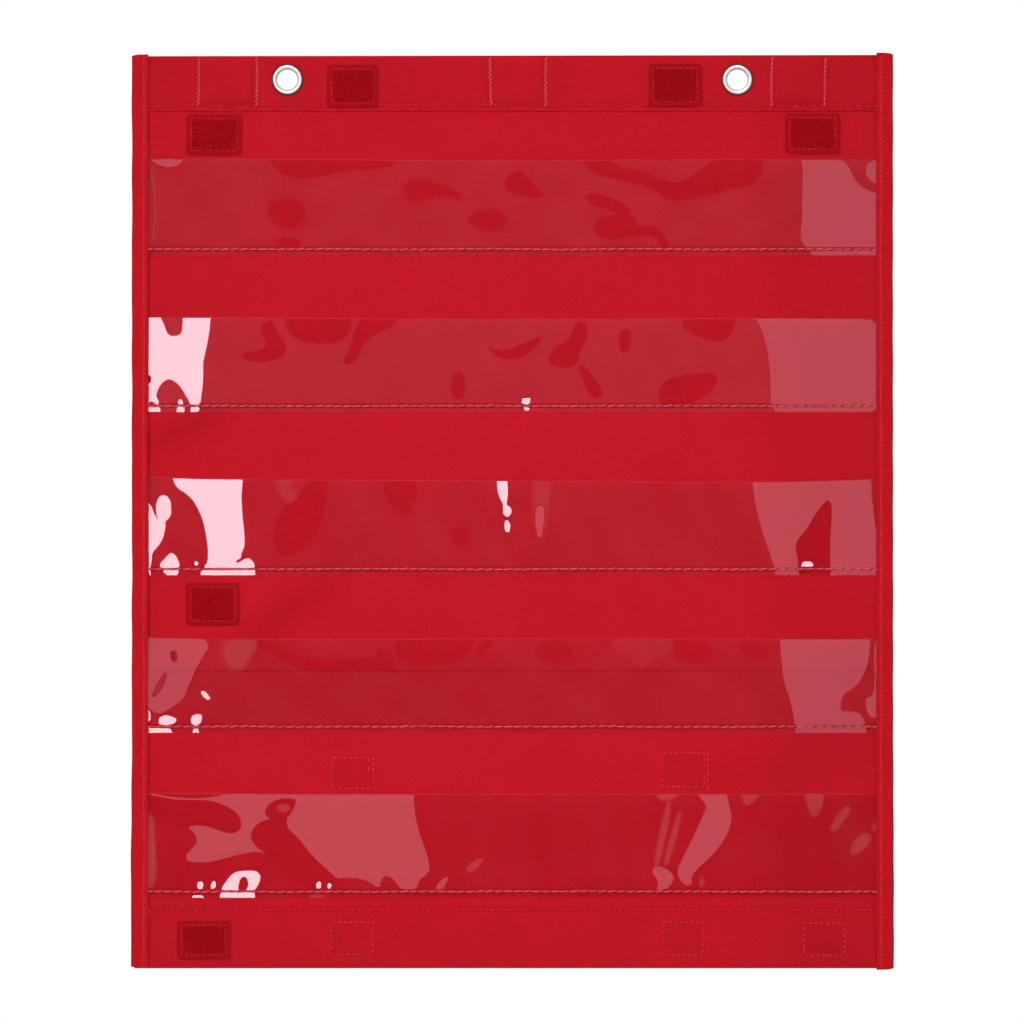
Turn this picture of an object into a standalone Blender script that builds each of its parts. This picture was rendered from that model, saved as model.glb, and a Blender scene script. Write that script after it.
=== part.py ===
"""Wall pocket organizer: a cloth chart with five clear pockets, hung by two eyelets.

Metres. +X is the right-hand side seen from the front, +Y runs back to the wall and +Z is up. The origin
lies on the wall, half way between the two eyelets. The cloth is one piece, hemmed to the front at both
ends. Tapes bind its sides and hold the ends of the five films, which are sewn along their lower edges
only, so that each stands off the cloth at its open mouth. Lengths measured down the chart start at the
cloth's top edge.
"""

import math

import bmesh
import bpy
from mathutils import Vector

# The gap between pieces that touch on the real chart, and how near two points are merged, as its share
GAP = 0.0003
MERGE_SHARE = 0.01

# The cloth and its hems
CLOTH_LENGTH = 0.427
CLOTH_THICKNESS = 0.0004
TOP_HEM_DEPTH = 0.026
TOP_HEM_SEAM_MARGIN = 0.0021
BOTTOM_HEM_DEPTH = 0.0297
BOTTOM_HEM_SEAM_MARGIN = 0.0028
FOLD_STEPS = 4

# The tapes that bind the two sides
CHART_WIDTH = 0.356
TAPE_WIDTH = 0.0077
TAPE_THICKNESS = 0.0005
TAPE_OVERHANG = 0.00075
TAPE_SEAM_MARGIN = 0.0021
TAPE_ARC_STEPS = 8

# The two eyelets and their washers
EYELET_DOWN = 0.01145
EYELET_CELL_GAP = 0.0083
EYELET_BORE_RADIUS = 0.0048
EYELET_WALL = 0.0005
EYELET_FLANGE_RADIUS = 0.00695
EYELET_CROWN = 0.001
EYELET_CURL_RADIUS = 0.0061
EYELET_CURL_DEPTH = 0.0005
WASHER_THICKNESS = 0.0004
EYELET_SIDES = 32
EYELET_ARC_STEPS = 5

# The three magnets and the cells sewn for them in the top hem
MAGNET_WIDTH = 0.02
MAGNET_HEIGHT = 0.016
MAGNET_THICKNESS = 0.0015
MAGNET_BEVEL = 0.0003
CELL_SLOPE = 0.003
CELL_SIDE_GAP = 0.0315
MIDDLE_CELL_OFFSET = 0.0026
CELL_REAR_SWELL_SHARE = 1 / 3
CELL_SEAM_MARGIN = 0.0005

# The hook-and-loop patches: a woven base with hooks or loops standing on it inside the sewn line
PATCH_WIDTH = 0.027
PATCH_HEIGHT = 0.019
PATCH_BASE_THICKNESS = 0.0005
PATCH_BORDER = 0.0018
PATCH_PILE_HEIGHT = 0.001
PATCH_PILE_SLOPE = 0.0003

# Where the patches lie: the two upper ones from the eyelets, and the rest from the chart's sides
UPPER_LOOP_EYELET_GAPS = (0.0097, 0.0073)
PATCH_HEM_SEAM_GAP = 0.0004
BAND_LOOP_SIDE_GAPS = (0.0257, 0.0229)
BAND_LOOP_HEM_GAP = 0.0012
BAND_LOOP_MOUTH_GAP = 0.0025
MIDDLE_LOOP_SIDE_GAP = 0.0248
MIDDLE_LOOP_FILM_GAP = 0.004
LOWER_LOOP_SIDE_GAP = 0.0206
MIDDLE_HOOK_SIDE_GAPS = (0.0898, 0.0838)
MIDDLE_HOOK_FILM_GAP = 0.0089
LOWER_HOOK_SIDE_GAPS = (0.0894, 0.0838)
CORNER_HOOK_SIDE_GAP = 0.0182

# The five clear films. Bare cloth shows between them, and each was cut and sewn a little unevenly
BARE_BAND = 0.0302
LAST_FILM_HEM_GAP = 0.0033
SEAM_RISE_SHARES = (0.0, 0.024, 0.008, 0.027, 0.0)
FILM_HEIGHT_SHARES = (1.0, 0.98, 0.99, 0.98, 1.069)
POCKETS = len(FILM_HEIGHT_SHARES)
FILM_THICKNESS = 0.0003
FILM_END_INSET = 0.0012
FILM_SEAM_MARGIN = 0.003
POCKET_GAPE = 0.008
FILM_RISE_SHARES = (0.0, 0.12, 0.27, 0.45, 0.7, 1.0)
FILM_SPAN_SHARES = (0.0, 0.3, 0.52, 0.7, 0.84, 0.94, 1.0)

# The sewing thread that lies along each long seam
THREAD_RADIUS = 0.0002
THREAD_END_GAP = 0.0003

# Depths, measured from the wall to the front
PATCH_THICKNESS = PATCH_BASE_THICKNESS + PATCH_PILE_HEIGHT
CLOTH_BACK = PATCH_THICKNESS + GAP
CLOTH_FRONT = CLOTH_BACK + CLOTH_THICKNESS
HEM_BACK = CLOTH_FRONT + GAP
HEM_FRONT = HEM_BACK + CLOTH_THICKNESS
FILM_BACK = CLOTH_FRONT + GAP
FILM_FRONT = FILM_BACK + FILM_THICKNESS
TAPE_CENTRE = (CLOTH_BACK + HEM_FRONT) / 2
TAPE_INNER_RADIUS = (HEM_FRONT - CLOTH_BACK) / 2 + GAP
TAPE_OUTER_RADIUS = TAPE_INNER_RADIUS + TAPE_THICKNESS

# Heights above the origin
CLOTH_TOP = EYELET_DOWN
CLOTH_BOTTOM = CLOTH_TOP - CLOTH_LENGTH
FOLD_RADIUS = (GAP + CLOTH_THICKNESS) / 2
FOLD_OUTER_RADIUS = FOLD_RADIUS + CLOTH_THICKNESS / 2
TOP_FOLD = CLOTH_TOP - FOLD_OUTER_RADIUS
BOTTOM_FOLD = CLOTH_BOTTOM + FOLD_OUTER_RADIUS
TOP_HEM_EDGE = CLOTH_TOP - TOP_HEM_DEPTH
TOP_HEM_SEAM = TOP_HEM_EDGE + TOP_HEM_SEAM_MARGIN
BOTTOM_HEM_EDGE = CLOTH_BOTTOM + BOTTOM_HEM_DEPTH
BOTTOM_HEM_SEAM = BOTTOM_HEM_EDGE - BOTTOM_HEM_SEAM_MARGIN
FIRST_MOUTH = TOP_HEM_EDGE - BAND_LOOP_HEM_GAP - PATCH_HEIGHT - BAND_LOOP_MOUTH_GAP
LAST_FILM_EDGE = BOTTOM_HEM_EDGE + LAST_FILM_HEM_GAP
FILM_HEIGHT = (FIRST_MOUTH - LAST_FILM_EDGE - (POCKETS - 1) * BARE_BAND) / POCKETS
POCKET_PITCH = FILM_HEIGHT + BARE_BAND
CELL_CENTRE = (TOP_FOLD + TOP_HEM_SEAM) / 2

# Widths from the centre line
CLOTH_HALF_WIDTH = CHART_WIDTH / 2 - TAPE_OUTER_RADIUS
TAPE_INNER_EDGE = CHART_WIDTH / 2 - TAPE_WIDTH
FILM_HALF_WIDTH = CLOTH_HALF_WIDTH - FILM_END_INSET
CELL_WIDTH = MAGNET_WIDTH + 2 * CELL_SLOPE
OUTER_CELL = CHART_WIDTH / 2 - CELL_SIDE_GAP - CELL_WIDTH / 2
EYELET_ACROSS = OUTER_CELL - CELL_WIDTH / 2 - EYELET_CELL_GAP - EYELET_FLANGE_RADIUS
EYELET_HOLE_RADIUS = EYELET_BORE_RADIUS + EYELET_WALL + GAP

# How far a magnet's cell swells to the back and to the front
CELL_SWELL = MAGNET_THICKNESS + GAP
CELL_REAR_SWELL = CELL_SWELL * CELL_REAR_SWELL_SHARE
CELL_FRONT_SWELL = CELL_SWELL - CELL_REAR_SWELL

# Colours as the photograph shows them, red, green and blue out of 255
CLOTH_RED = (194, 27, 37)
TAPE_RED = (192, 25, 35)
PATCH_RED = (156, 11, 20)
SEAM_PINK = (222, 132, 138)
HEM_THREAD_RED = (208, 47, 55)
FILM_CLEAR = (235, 240, 242)
EYELET_SILVER = (222, 224, 226)
MAGNET_GREY = (70, 70, 74)
COLOUR_LEVELS = 255

# An edge bent by more than this is shaded sharp
SHARP_DEGREES = 40


def linear(shade):
    """One channel of a colour on screen, as the light that it stands for."""
    share = shade / COLOUR_LEVELS
    return share / 12.92 if share <= 0.04045 else ((share + 0.055) / 1.055) ** 2.4


def make_material(name, shades, roughness, metallic=0.0, alpha=1.0):
    material = bpy.data.materials.new(name)
    material.use_nodes = True
    shader = material.node_tree.nodes["Principled BSDF"]
    colour = (*(linear(shade) for shade in shades), 1.0)
    shader.inputs["Base Color"].default_value = colour
    shader.inputs["Roughness"].default_value = roughness
    shader.inputs["Metallic"].default_value = metallic
    shader.inputs["Alpha"].default_value = alpha
    material.diffuse_color = (*colour[:3], alpha)
    return material


def clear_scene():
    for old in list(bpy.data.objects):
        bpy.data.objects.remove(old, do_unlink=True)


def make_collection(name):
    collection = bpy.data.collections.new(name)
    bpy.context.scene.collection.children.link(collection)
    return collection


def add_part(name, data, material, place=(0.0, 0.0, 0.0), turn=(0.0, 0.0, 0.0)):
    """A piece of the chart, hung from the chart's origin."""
    part = bpy.data.objects.new(name, data)
    part.location = place
    part.rotation_euler = turn
    part.parent = chart
    if not data.materials:
        data.materials.append(material)
    parts.objects.link(part)
    return part


def smooth(mesh):
    mesh.shade_smooth()
    mesh.set_sharp_from_angle(angle=math.radians(SHARP_DEGREES))


def sheet_mesh(name, columns, rows, place):
    """A grid of the given columns and rows, each crossing put where place(column, row) says."""
    across = len(columns) - 1
    along = len(rows) - 1
    bm = bmesh.new()
    bmesh.ops.create_grid(bm, x_segments=across, y_segments=along, size=1)
    for vert in bm.verts:
        column = columns[round((vert.co.x + 1) / 2 * across)]
        row = rows[round((vert.co.y + 1) / 2 * along)]
        vert.co = place(column, row)
    mesh = bpy.data.meshes.new(name)
    bm.to_mesh(mesh)
    bm.free()
    smooth(mesh)
    return mesh


def thicken(part, thickness):
    wall = part.modifiers.new("wall", "SOLIDIFY")
    wall.thickness = thickness
    wall.offset = 0
    wall.use_even_offset = True


def turned_mesh(name, profile):
    """A closed profile of (radius, height) points, which runs down its outer side, as a ring of edges."""
    bm = bmesh.new()
    corners = [bm.verts.new((radius, 0, height)) for radius, height in profile]
    for start, end in zip(corners, corners[1:] + corners[:1]):
        bm.edges.new((start, end))
    mesh = bpy.data.meshes.new(name)
    bm.to_mesh(mesh)
    bm.free()
    return mesh


def turn_round(part):
    screw = part.modifiers.new("turned", "SCREW")
    screw.steps = screw.render_steps = EYELET_SIDES
    screw.use_smooth_shade = True
    screw.merge_threshold = GAP * MERGE_SHARE


def half_ellipse(centre_radius, base, half_width, height, start):
    """Points (radius, height) round half an ellipse that stands on base, from the angle start on."""
    points = []
    for step in range(EYELET_ARC_STEPS + 1):
        angle = start + math.pi * step / EYELET_ARC_STEPS
        points.append((centre_radius + half_width * math.cos(angle), base + height * math.sin(angle)))
    return points


# The cloth


def cell_centres():
    return [-OUTER_CELL, MIDDLE_CELL_OFFSET, OUTER_CELL]


def cloth_columns():
    """The cloth's columns: its edges, each cell's seams and magnet, and the ground beside each eyelet."""
    columns = [-CLOTH_HALF_WIDTH, CLOTH_HALF_WIDTH]
    for centre in cell_centres():
        for reach in (CELL_WIDTH / 2 - CELL_SEAM_MARGIN, MAGNET_WIDTH / 2 + GAP):
            columns += [centre - reach, centre + reach]
    for centre in (-EYELET_ACROSS, EYELET_ACROSS):
        columns += [centre - EYELET_FLANGE_RADIUS, centre + EYELET_FLANGE_RADIUS]
    return sorted(columns)


def cell_rows():
    """The heights of a magnet's lower and upper edge in its cell."""
    return CELL_CENTRE - MAGNET_HEIGHT / 2 - GAP, CELL_CENTRE + MAGNET_HEIGHT / 2 + GAP


def cloth_rows():
    """The cloth's middle line from the upper hem's end over the back to the lower hem's end.

    Each row is (depth, height, how far a cell lifts it towards the front).
    """
    front = (HEM_BACK + HEM_FRONT) / 2
    back = (CLOTH_BACK + CLOTH_FRONT) / 2
    low, high = cell_rows()
    rows = [(front, TOP_HEM_EDGE, 0), (front, TOP_HEM_SEAM + CELL_SEAM_MARGIN, 0)]
    rows += [(front, low, CELL_FRONT_SWELL), (front, high, CELL_FRONT_SWELL)]
    rows += fold_rows(TOP_FOLD, 1)
    rows += [(back, high, -CELL_REAR_SWELL), (back, low, -CELL_REAR_SWELL)]
    rows += [(back, TOP_HEM_SEAM + CELL_SEAM_MARGIN, 0)]
    rows += fold_rows(BOTTOM_FOLD, -1)
    rows += [(front, BOTTOM_HEM_EDGE, 0)]
    return rows


def fold_rows(height, way):
    """The fold at the top (way 1), from front to back, or at the bottom (way -1), from back to front."""
    centre = (CLOTH_FRONT + HEM_BACK) / 2
    rows = []
    for step in range(FOLD_STEPS + 1):
        angle = math.pi * step / FOLD_STEPS
        depth = centre + way * FOLD_RADIUS * math.cos(angle)
        rows.append((depth, height + way * FOLD_RADIUS * math.sin(angle), 0))
    return rows


def cell_share(x):
    """1 over a magnet, 0 outside its cell, and in between on the cell's sides."""
    reach = min(abs(x - centre) for centre in cell_centres())
    flat = MAGNET_WIDTH / 2 + GAP
    foot = CELL_WIDTH / 2 - CELL_SEAM_MARGIN
    return min(max((foot - reach) / (foot - flat), 0), 1)


def cloth_point(x, row):
    depth, height, lift = row
    return Vector((x, -(depth + lift * cell_share(x)), height))


def add_cloth():
    mesh = sheet_mesh("chart_cloth", cloth_columns(), cloth_rows(), cloth_point)
    cloth = add_part("chart_cloth", mesh, cloth_red)
    thicken(cloth, CLOTH_THICKNESS)
    for side in (-1, 1):
        hole = cloth.modifiers.new("eyelet hole", "BOOLEAN")
        hole.operation = "DIFFERENCE"
        hole.object = add_hole_cutter(side)


def add_hole_cutter(side):
    """A rod along Y through both layers of the top hem."""
    depth = HEM_FRONT + CLOTH_BACK
    bm = bmesh.new()
    bmesh.ops.create_cone(
        bm,
        cap_ends=True,
        segments=EYELET_SIDES,
        radius1=EYELET_HOLE_RADIUS,
        radius2=EYELET_HOLE_RADIUS,
        depth=depth,
    )
    mesh = bpy.data.meshes.new("eyelet_hole")
    bm.to_mesh(mesh)
    bm.free()
    cutter = bpy.data.objects.new("eyelet_hole", mesh)
    cutter.location = (side * EYELET_ACROSS, -depth / 2, 0)
    cutter.rotation_euler = (math.radians(90), 0, 0)
    cutter.parent = chart
    cutter.display_type = "WIRE"
    cutter.hide_render = True
    cutters.objects.link(cutter)
    return cutter


# The side tapes


def tape_outline(side):
    """A tape's section seen from above: round the cloth's edge and along both faces."""
    edge = side * TAPE_INNER_EDGE
    bend = side * CLOTH_HALF_WIDTH
    points = [(edge, -TAPE_CENTRE + TAPE_INNER_RADIUS)]
    points += tape_arc(side, bend, TAPE_INNER_RADIUS)
    points += [(edge, -TAPE_CENTRE - TAPE_INNER_RADIUS), (edge, -TAPE_CENTRE - TAPE_OUTER_RADIUS)]
    points += reversed(tape_arc(side, bend, TAPE_OUTER_RADIUS))
    points += [(edge, -TAPE_CENTRE + TAPE_OUTER_RADIUS)]
    return points


def tape_arc(side, bend, radius):
    """The tape's fold from its rear face round to its front face."""
    points = []
    for step in range(TAPE_ARC_STEPS + 1):
        angle = math.pi / 2 - math.pi * step / TAPE_ARC_STEPS
        points.append((bend + side * radius * math.cos(angle), -TAPE_CENTRE + radius * math.sin(angle)))
    return points


def add_tape(name, side):
    length = CLOTH_LENGTH + 2 * TAPE_OVERHANG
    curve = bpy.data.curves.new(name, "CURVE")
    curve.dimensions = "2D"
    curve.fill_mode = "BOTH"
    curve.extrude = length / 2
    outline = tape_outline(side)
    spline = curve.splines.new("POLY")
    spline.points.add(len(outline) - 1)
    for point, (x, y) in zip(spline.points, outline):
        point.co = (x, y, 0, 1)
    spline.use_cyclic_u = True
    add_part(name, curve, tape_red, place=(0, 0, (CLOTH_TOP + CLOTH_BOTTOM) / 2))


# The clear films


def film_edge(pocket):
    """The height of a film's lower edge. The top pocket is pocket 0."""
    nominal = FIRST_MOUTH - FILM_HEIGHT - pocket * POCKET_PITCH
    return nominal + SEAM_RISE_SHARES[pocket] * POCKET_PITCH


def seam_height(pocket):
    return film_edge(pocket) + FILM_SEAM_MARGIN


def film_free_height(pocket):
    """From the seam up to the mouth."""
    return FILM_HEIGHT * FILM_HEIGHT_SHARES[pocket] - FILM_SEAM_MARGIN


def film_columns():
    """Across the film: its ends under the tapes, and places between the tapes."""
    inner = [share * TAPE_INNER_EDGE for share in FILM_SPAN_SHARES]
    half = inner + [FILM_HALF_WIDTH]
    return [-x for x in reversed(half[1:])] + half


def film_point(x, rise, free_height):
    """rise is 0 at the seam and 1 at the mouth. Below the seam it is a share of the free height too."""
    span = min(abs(x) / TAPE_INNER_EDGE, 1)
    swing = 1 - (1 - max(rise, 0)) ** 2
    gape = POCKET_GAPE * (1 - span ** 4) * swing
    return Vector((x, -(FILM_BACK + FILM_THICKNESS / 2 + gape), rise * free_height))


def add_film(pocket):
    free_height = film_free_height(pocket)
    rows = (-FILM_SEAM_MARGIN / free_height, *FILM_RISE_SHARES)
    name = f"pocket_film_{pocket + 1}"
    mesh = sheet_mesh(name, film_columns(), rows, lambda x, rise: film_point(x, rise, free_height))
    film = add_part(name, mesh, film_clear, place=(0, 0, seam_height(pocket)))
    thicken(film, FILM_THICKNESS)


# The eyelets and their washers


def eyelet_profile():
    """A crowned flange in front, a barrel through the hem, and its end curled out behind the washer."""
    barrel_radius = EYELET_BORE_RADIUS + EYELET_WALL
    base = HEM_FRONT + GAP
    curl_base = CLOTH_BACK - GAP - WASHER_THICKNESS - GAP
    crown_centre = (EYELET_FLANGE_RADIUS + EYELET_BORE_RADIUS) / 2
    curl_centre = (EYELET_CURL_RADIUS + EYELET_BORE_RADIUS) / 2
    flange = [(barrel_radius, base), (EYELET_FLANGE_RADIUS, base)]
    crown = half_ellipse(crown_centre, base, crown_centre - EYELET_BORE_RADIUS, EYELET_CROWN, 0)
    curl_width = curl_centre - EYELET_BORE_RADIUS
    curl = half_ellipse(curl_centre, curl_base, curl_width, EYELET_CURL_DEPTH, math.pi)
    return list(reversed(flange + crown[1:] + curl + [(barrel_radius, curl_base)]))


def washer_profile():
    inner = EYELET_HOLE_RADIUS
    front = CLOTH_BACK - GAP
    back = front - WASHER_THICKNESS
    return [(EYELET_FLANGE_RADIUS, front), (EYELET_FLANGE_RADIUS, back), (inner, back), (inner, front)]


def add_eyelets():
    facing_front = (math.radians(90), 0, 0)
    pieces = (
        ("eyelet", turned_mesh("eyelet", eyelet_profile())),
        ("eyelet_washer", turned_mesh("eyelet_washer", washer_profile())),
    )
    for kind, mesh in pieces:
        for side_name, side in (("left", -1), ("right", 1)):
            place = (side * EYELET_ACROSS, 0, 0)
            turn_round(add_part(f"{kind}_{side_name}", mesh, eyelet_silver, place, facing_front))


# The magnets


def add_magnets():
    bm = bmesh.new()
    bmesh.ops.create_cube(bm, size=1)
    bmesh.ops.scale(bm, verts=bm.verts, vec=(MAGNET_WIDTH, MAGNET_THICKNESS, MAGNET_HEIGHT))
    mesh = bpy.data.meshes.new("hem_magnet")
    bm.to_mesh(mesh)
    bm.free()
    depth = CLOTH_FRONT - CELL_REAR_SWELL + GAP + MAGNET_THICKNESS / 2
    for name, x in zip(("left", "middle", "right"), cell_centres()):
        magnet = add_part(f"hem_magnet_{name}", mesh, magnet_grey, place=(x, -depth, CELL_CENTRE))
        edges = magnet.modifiers.new("edges", "BEVEL")
        edges.width = MAGNET_BEVEL
        edges.segments = 2


# The hook-and-loop patches


def patch_mesh(name):
    """A patch that faces -Y from the plane y = 0: a flat base with a raised field inside its border."""
    bm = bmesh.new()
    bmesh.ops.create_cube(bm, size=1)
    bmesh.ops.scale(bm, verts=bm.verts, vec=(PATCH_WIDTH, PATCH_BASE_THICKNESS, PATCH_HEIGHT))
    bmesh.ops.translate(bm, verts=bm.verts, vec=(0, -PATCH_BASE_THICKNESS / 2, 0))
    front = [min(bm.faces, key=lambda face: face.calc_center_median().y)]
    bmesh.ops.inset_region(bm, faces=front, thickness=PATCH_BORDER, use_even_offset=True)
    bmesh.ops.inset_region(
        bm, faces=front, thickness=PATCH_PILE_SLOPE, depth=PATCH_PILE_HEIGHT, use_even_offset=True
    )
    mesh = bpy.data.meshes.new(name)
    bm.to_mesh(mesh)
    bm.free()
    return mesh


def from_side(side, gap):
    """The middle of a patch whose outer edge lies this gap inside the chart's left (-1) or right (1) side."""
    return side * (CHART_WIDTH / 2 - gap - PATCH_WIDTH / 2)


def from_eyelet(side, gap):
    """The middle of a patch whose outer edge lies this gap inside an eyelet's flange."""
    return side * (EYELET_ACROSS - EYELET_FLANGE_RADIUS - gap - PATCH_WIDTH / 2)


def loop_places():
    """The loop patches on the front, from the top down."""
    on_hem = -(HEM_FRONT + GAP)
    on_cloth = -(CLOTH_FRONT + GAP)
    upper = TOP_HEM_SEAM + THREAD_RADIUS + PATCH_HEM_SEAM_GAP + PATCH_HEIGHT / 2
    band = TOP_HEM_EDGE - BAND_LOOP_HEM_GAP - PATCH_HEIGHT / 2
    middle = film_edge(POCKETS // 2) - MIDDLE_LOOP_FILM_GAP - PATCH_HEIGHT / 2
    left_gap, right_gap = UPPER_LOOP_EYELET_GAPS
    left_side_gap, right_side_gap = BAND_LOOP_SIDE_GAPS
    return [
        (from_eyelet(-1, left_gap), on_hem, upper),
        (from_eyelet(1, right_gap), on_hem, upper),
        (from_side(-1, left_side_gap), on_cloth, band),
        (from_side(1, right_side_gap), on_cloth, band),
        (from_side(-1, MIDDLE_LOOP_SIDE_GAP), on_cloth, middle),
        (from_side(-1, LOWER_LOOP_SIDE_GAP), on_hem, lower_patch_height()),
    ]


def lower_patch_height():
    return (BOTTOM_HEM_SEAM + CLOTH_BOTTOM) / 2


def hook_places():
    """The hook patches on the back, from the top down."""
    behind = GAP - CLOTH_BACK
    middle = film_edge(POCKETS - 2) - MIDDLE_HOOK_FILM_GAP - PATCH_HEIGHT / 2
    rows = ((middle, MIDDLE_HOOK_SIDE_GAPS), (lower_patch_height(), LOWER_HOOK_SIDE_GAPS))
    places = []
    for height, (left_gap, right_gap) in rows:
        places += [(from_side(-1, left_gap), behind, height), (from_side(1, right_gap), behind, height)]
    return places + [(from_side(1, CORNER_HOOK_SIDE_GAP), behind, lower_patch_height())]


def add_patches():
    loop_mesh = patch_mesh("loop_patch")
    hook_mesh = patch_mesh("hook_patch")
    facing_wall = (0, 0, math.radians(180))
    for number, place in enumerate(loop_places(), 1):
        add_part(f"loop_patch_{number}", loop_mesh, loop_red, place)
    for number, place in enumerate(hook_places(), 1):
        add_part(f"hook_patch_{number}", hook_mesh, hook_red, place, facing_wall)


# The threads of the long seams


def add_thread(name, start, end, material):
    curve = bpy.data.curves.new(name, "CURVE")
    curve.dimensions = "3D"
    curve.bevel_depth = THREAD_RADIUS
    curve.bevel_resolution = 1
    curve.use_fill_caps = True
    middle = (Vector(start) + Vector(end)) / 2
    spline = curve.splines.new("POLY")
    spline.points.add(1)
    for point, place in zip(spline.points, (start, end)):
        point.co = (*(Vector(place) - middle), 1)
    add_part(name, curve, material, place=middle)


def add_threads():
    reach = TAPE_INNER_EDGE - THREAD_END_GAP
    lift = GAP + THREAD_RADIUS
    for pocket in range(POCKETS):
        height = seam_height(pocket)
        depth = -(FILM_FRONT + lift)
        name = f"pocket_seam_thread_{pocket + 1}"
        add_thread(name, (-reach, depth, height), (reach, depth, height), seam_pink)
    for name, height in (("top_hem_thread", TOP_HEM_SEAM), ("bottom_hem_thread", BOTTOM_HEM_SEAM)):
        depth = -(HEM_FRONT + lift)
        add_thread(name, (-reach, depth, height), (reach, depth, height), hem_thread_red)
    for side_name, side in (("left", -1), ("right", 1)):
        x = side * (TAPE_INNER_EDGE + TAPE_SEAM_MARGIN)
        depth = -(TAPE_CENTRE + TAPE_OUTER_RADIUS + lift)
        ends = (x, depth, CLOTH_BOTTOM), (x, depth, CLOTH_TOP)
        add_thread(f"tape_thread_{side_name}", *ends, hem_thread_red)


clear_scene()
parts = make_collection("wall_pocket_organizer")
cutters = make_collection("cutters")
chart = bpy.data.objects.new("chart_origin", None)
parts.objects.link(chart)

cloth_red = make_material("cloth", CLOTH_RED, 0.8)
tape_red = make_material("tape", TAPE_RED, 0.7)
loop_red = make_material("loop", PATCH_RED, 0.95)
hook_red = make_material("hook", PATCH_RED, 0.6)
seam_pink = make_material("seam thread", SEAM_PINK, 0.5)
hem_thread_red = make_material("hem thread", HEM_THREAD_RED, 0.5)
film_clear = make_material("clear film", FILM_CLEAR, 0.06, alpha=0.25)
eyelet_silver = make_material("eyelet", EYELET_SILVER, 0.2, metallic=1.0)
magnet_grey = make_material("magnet", MAGNET_GREY, 0.5, metallic=0.6)

add_cloth()
add_tape("side_tape_left", -1)
add_tape("side_tape_right", 1)
for pocket_number in range(POCKETS):
    add_film(pocket_number)
add_eyelets()
add_magnets()
add_patches()
add_threads()
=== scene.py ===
"""The wall pocket organizer as it looks: its cloth, tapes, clear films, fittings and stitches."""

import math

import bmesh
import bpy
import numpy as np
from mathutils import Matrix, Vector


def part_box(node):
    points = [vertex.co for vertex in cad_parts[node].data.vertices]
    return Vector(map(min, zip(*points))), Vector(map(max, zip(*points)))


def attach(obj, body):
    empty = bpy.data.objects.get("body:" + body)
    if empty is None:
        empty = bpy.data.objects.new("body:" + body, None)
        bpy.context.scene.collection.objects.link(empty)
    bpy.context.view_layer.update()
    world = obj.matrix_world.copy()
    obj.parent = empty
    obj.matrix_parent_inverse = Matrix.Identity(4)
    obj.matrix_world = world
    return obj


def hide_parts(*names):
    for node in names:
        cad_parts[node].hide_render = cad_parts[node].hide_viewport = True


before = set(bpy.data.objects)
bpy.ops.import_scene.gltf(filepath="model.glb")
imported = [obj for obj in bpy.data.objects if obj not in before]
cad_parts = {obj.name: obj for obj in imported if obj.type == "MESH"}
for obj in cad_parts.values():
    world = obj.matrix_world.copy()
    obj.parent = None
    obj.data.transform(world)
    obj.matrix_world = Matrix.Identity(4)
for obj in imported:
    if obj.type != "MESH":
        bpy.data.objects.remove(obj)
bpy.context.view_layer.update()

MM = 0.001
SRGB_TOP = 255

# The photograph's view
FRAME_PIXELS = 1024
VIEW_WIDTH = 0.4793
VIEW_CENTRE = Vector((-0.0002, 0, -0.2022))
VIEW_DISTANCE = 4.0
SENSOR_WIDTH = 36
CLIP_END = 60

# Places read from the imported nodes. The cloth is cut for its height and its two hems.
GAP = 0.3 * MM
CLOTH_LOW, CLOTH_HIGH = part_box("chart_cloth")
CLOTH_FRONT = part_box("loop_patch_3")[1].y + GAP
CLOTH_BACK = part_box("hook_patch_1")[0].y - GAP
HEM_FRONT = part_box("loop_patch_1")[1].y + GAP
CLOTH_THICKNESS = CLOTH_BACK - CLOTH_FRONT
CLOTH_MIDDLE = (CLOTH_BACK + CLOTH_FRONT) / 2
HEM_MIDDLE = HEM_FRONT + CLOTH_THICKNESS / 2
FOLD_RADIUS = (CLOTH_MIDDLE - HEM_MIDDLE) / 2
TAPE_LOW, TAPE_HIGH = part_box("side_tape_right")
TAPE_THICKNESS = 0.5 * MM
POCKETS = 5
LOOP_PATCHES = 6
HOOK_PATCHES = 5
SIDES = ("left", "right")
CELLS = ("left", "middle", "right")


def middle(node):
    """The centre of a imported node."""
    low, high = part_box(node)
    return (low + high) / 2


TOP_HEM_SEAM = middle("top_hem_thread").z
BOTTOM_HEM_SEAM = middle("bottom_hem_thread").z
TOP_HEM_EDGE = TOP_HEM_SEAM - 2.1 * MM
BOTTOM_HEM_EDGE = BOTTOM_HEM_SEAM + 2.8 * MM
POCKET_SEAMS = [middle(f"pocket_seam_thread_{n}").z for n in range(1, POCKETS + 1)]
SEAM_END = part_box("top_hem_thread")[1].x
FAINT_SEAM_PIXEL = 670.5
CELL_STITCH_PIXELS = (198.5, 257, 490.5, 545.5, 771.5, 825)

# Each patch's stitched outline, as its left, top, right and bottom in the photograph's pixels
PATCH_SEAM_PIXELS = {
    "loop_patch_1": (332, 69.5, 374, 103.5),
    "loop_patch_2": (653.5, 68.5, 697, 102.5),
    "loop_patch_3": (191.5, 119, 237.5, 151),
    "loop_patch_4": (790, 118, 835, 149.5),
    "loop_patch_5": (191, 587, 235, 621),
    "loop_patch_6": (182.5, 924.5, 226, 954.5),
    "hook_patch_1": (332, 758, 373.5, 788.5),
    "hook_patch_2": (662, 753, 704, 786.5),
    "hook_patch_3": (331.5, 922, 372.5, 954),
    "hook_patch_4": (662, 922, 702.5, 954.5),
    "hook_patch_5": (804, 923, 844, 955),
}
EYELET_BORE = 4.8 * MM
EYELET_FLANGE = 7.2 * MM
HOLE_RADIUS = 5.6 * MM

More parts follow.
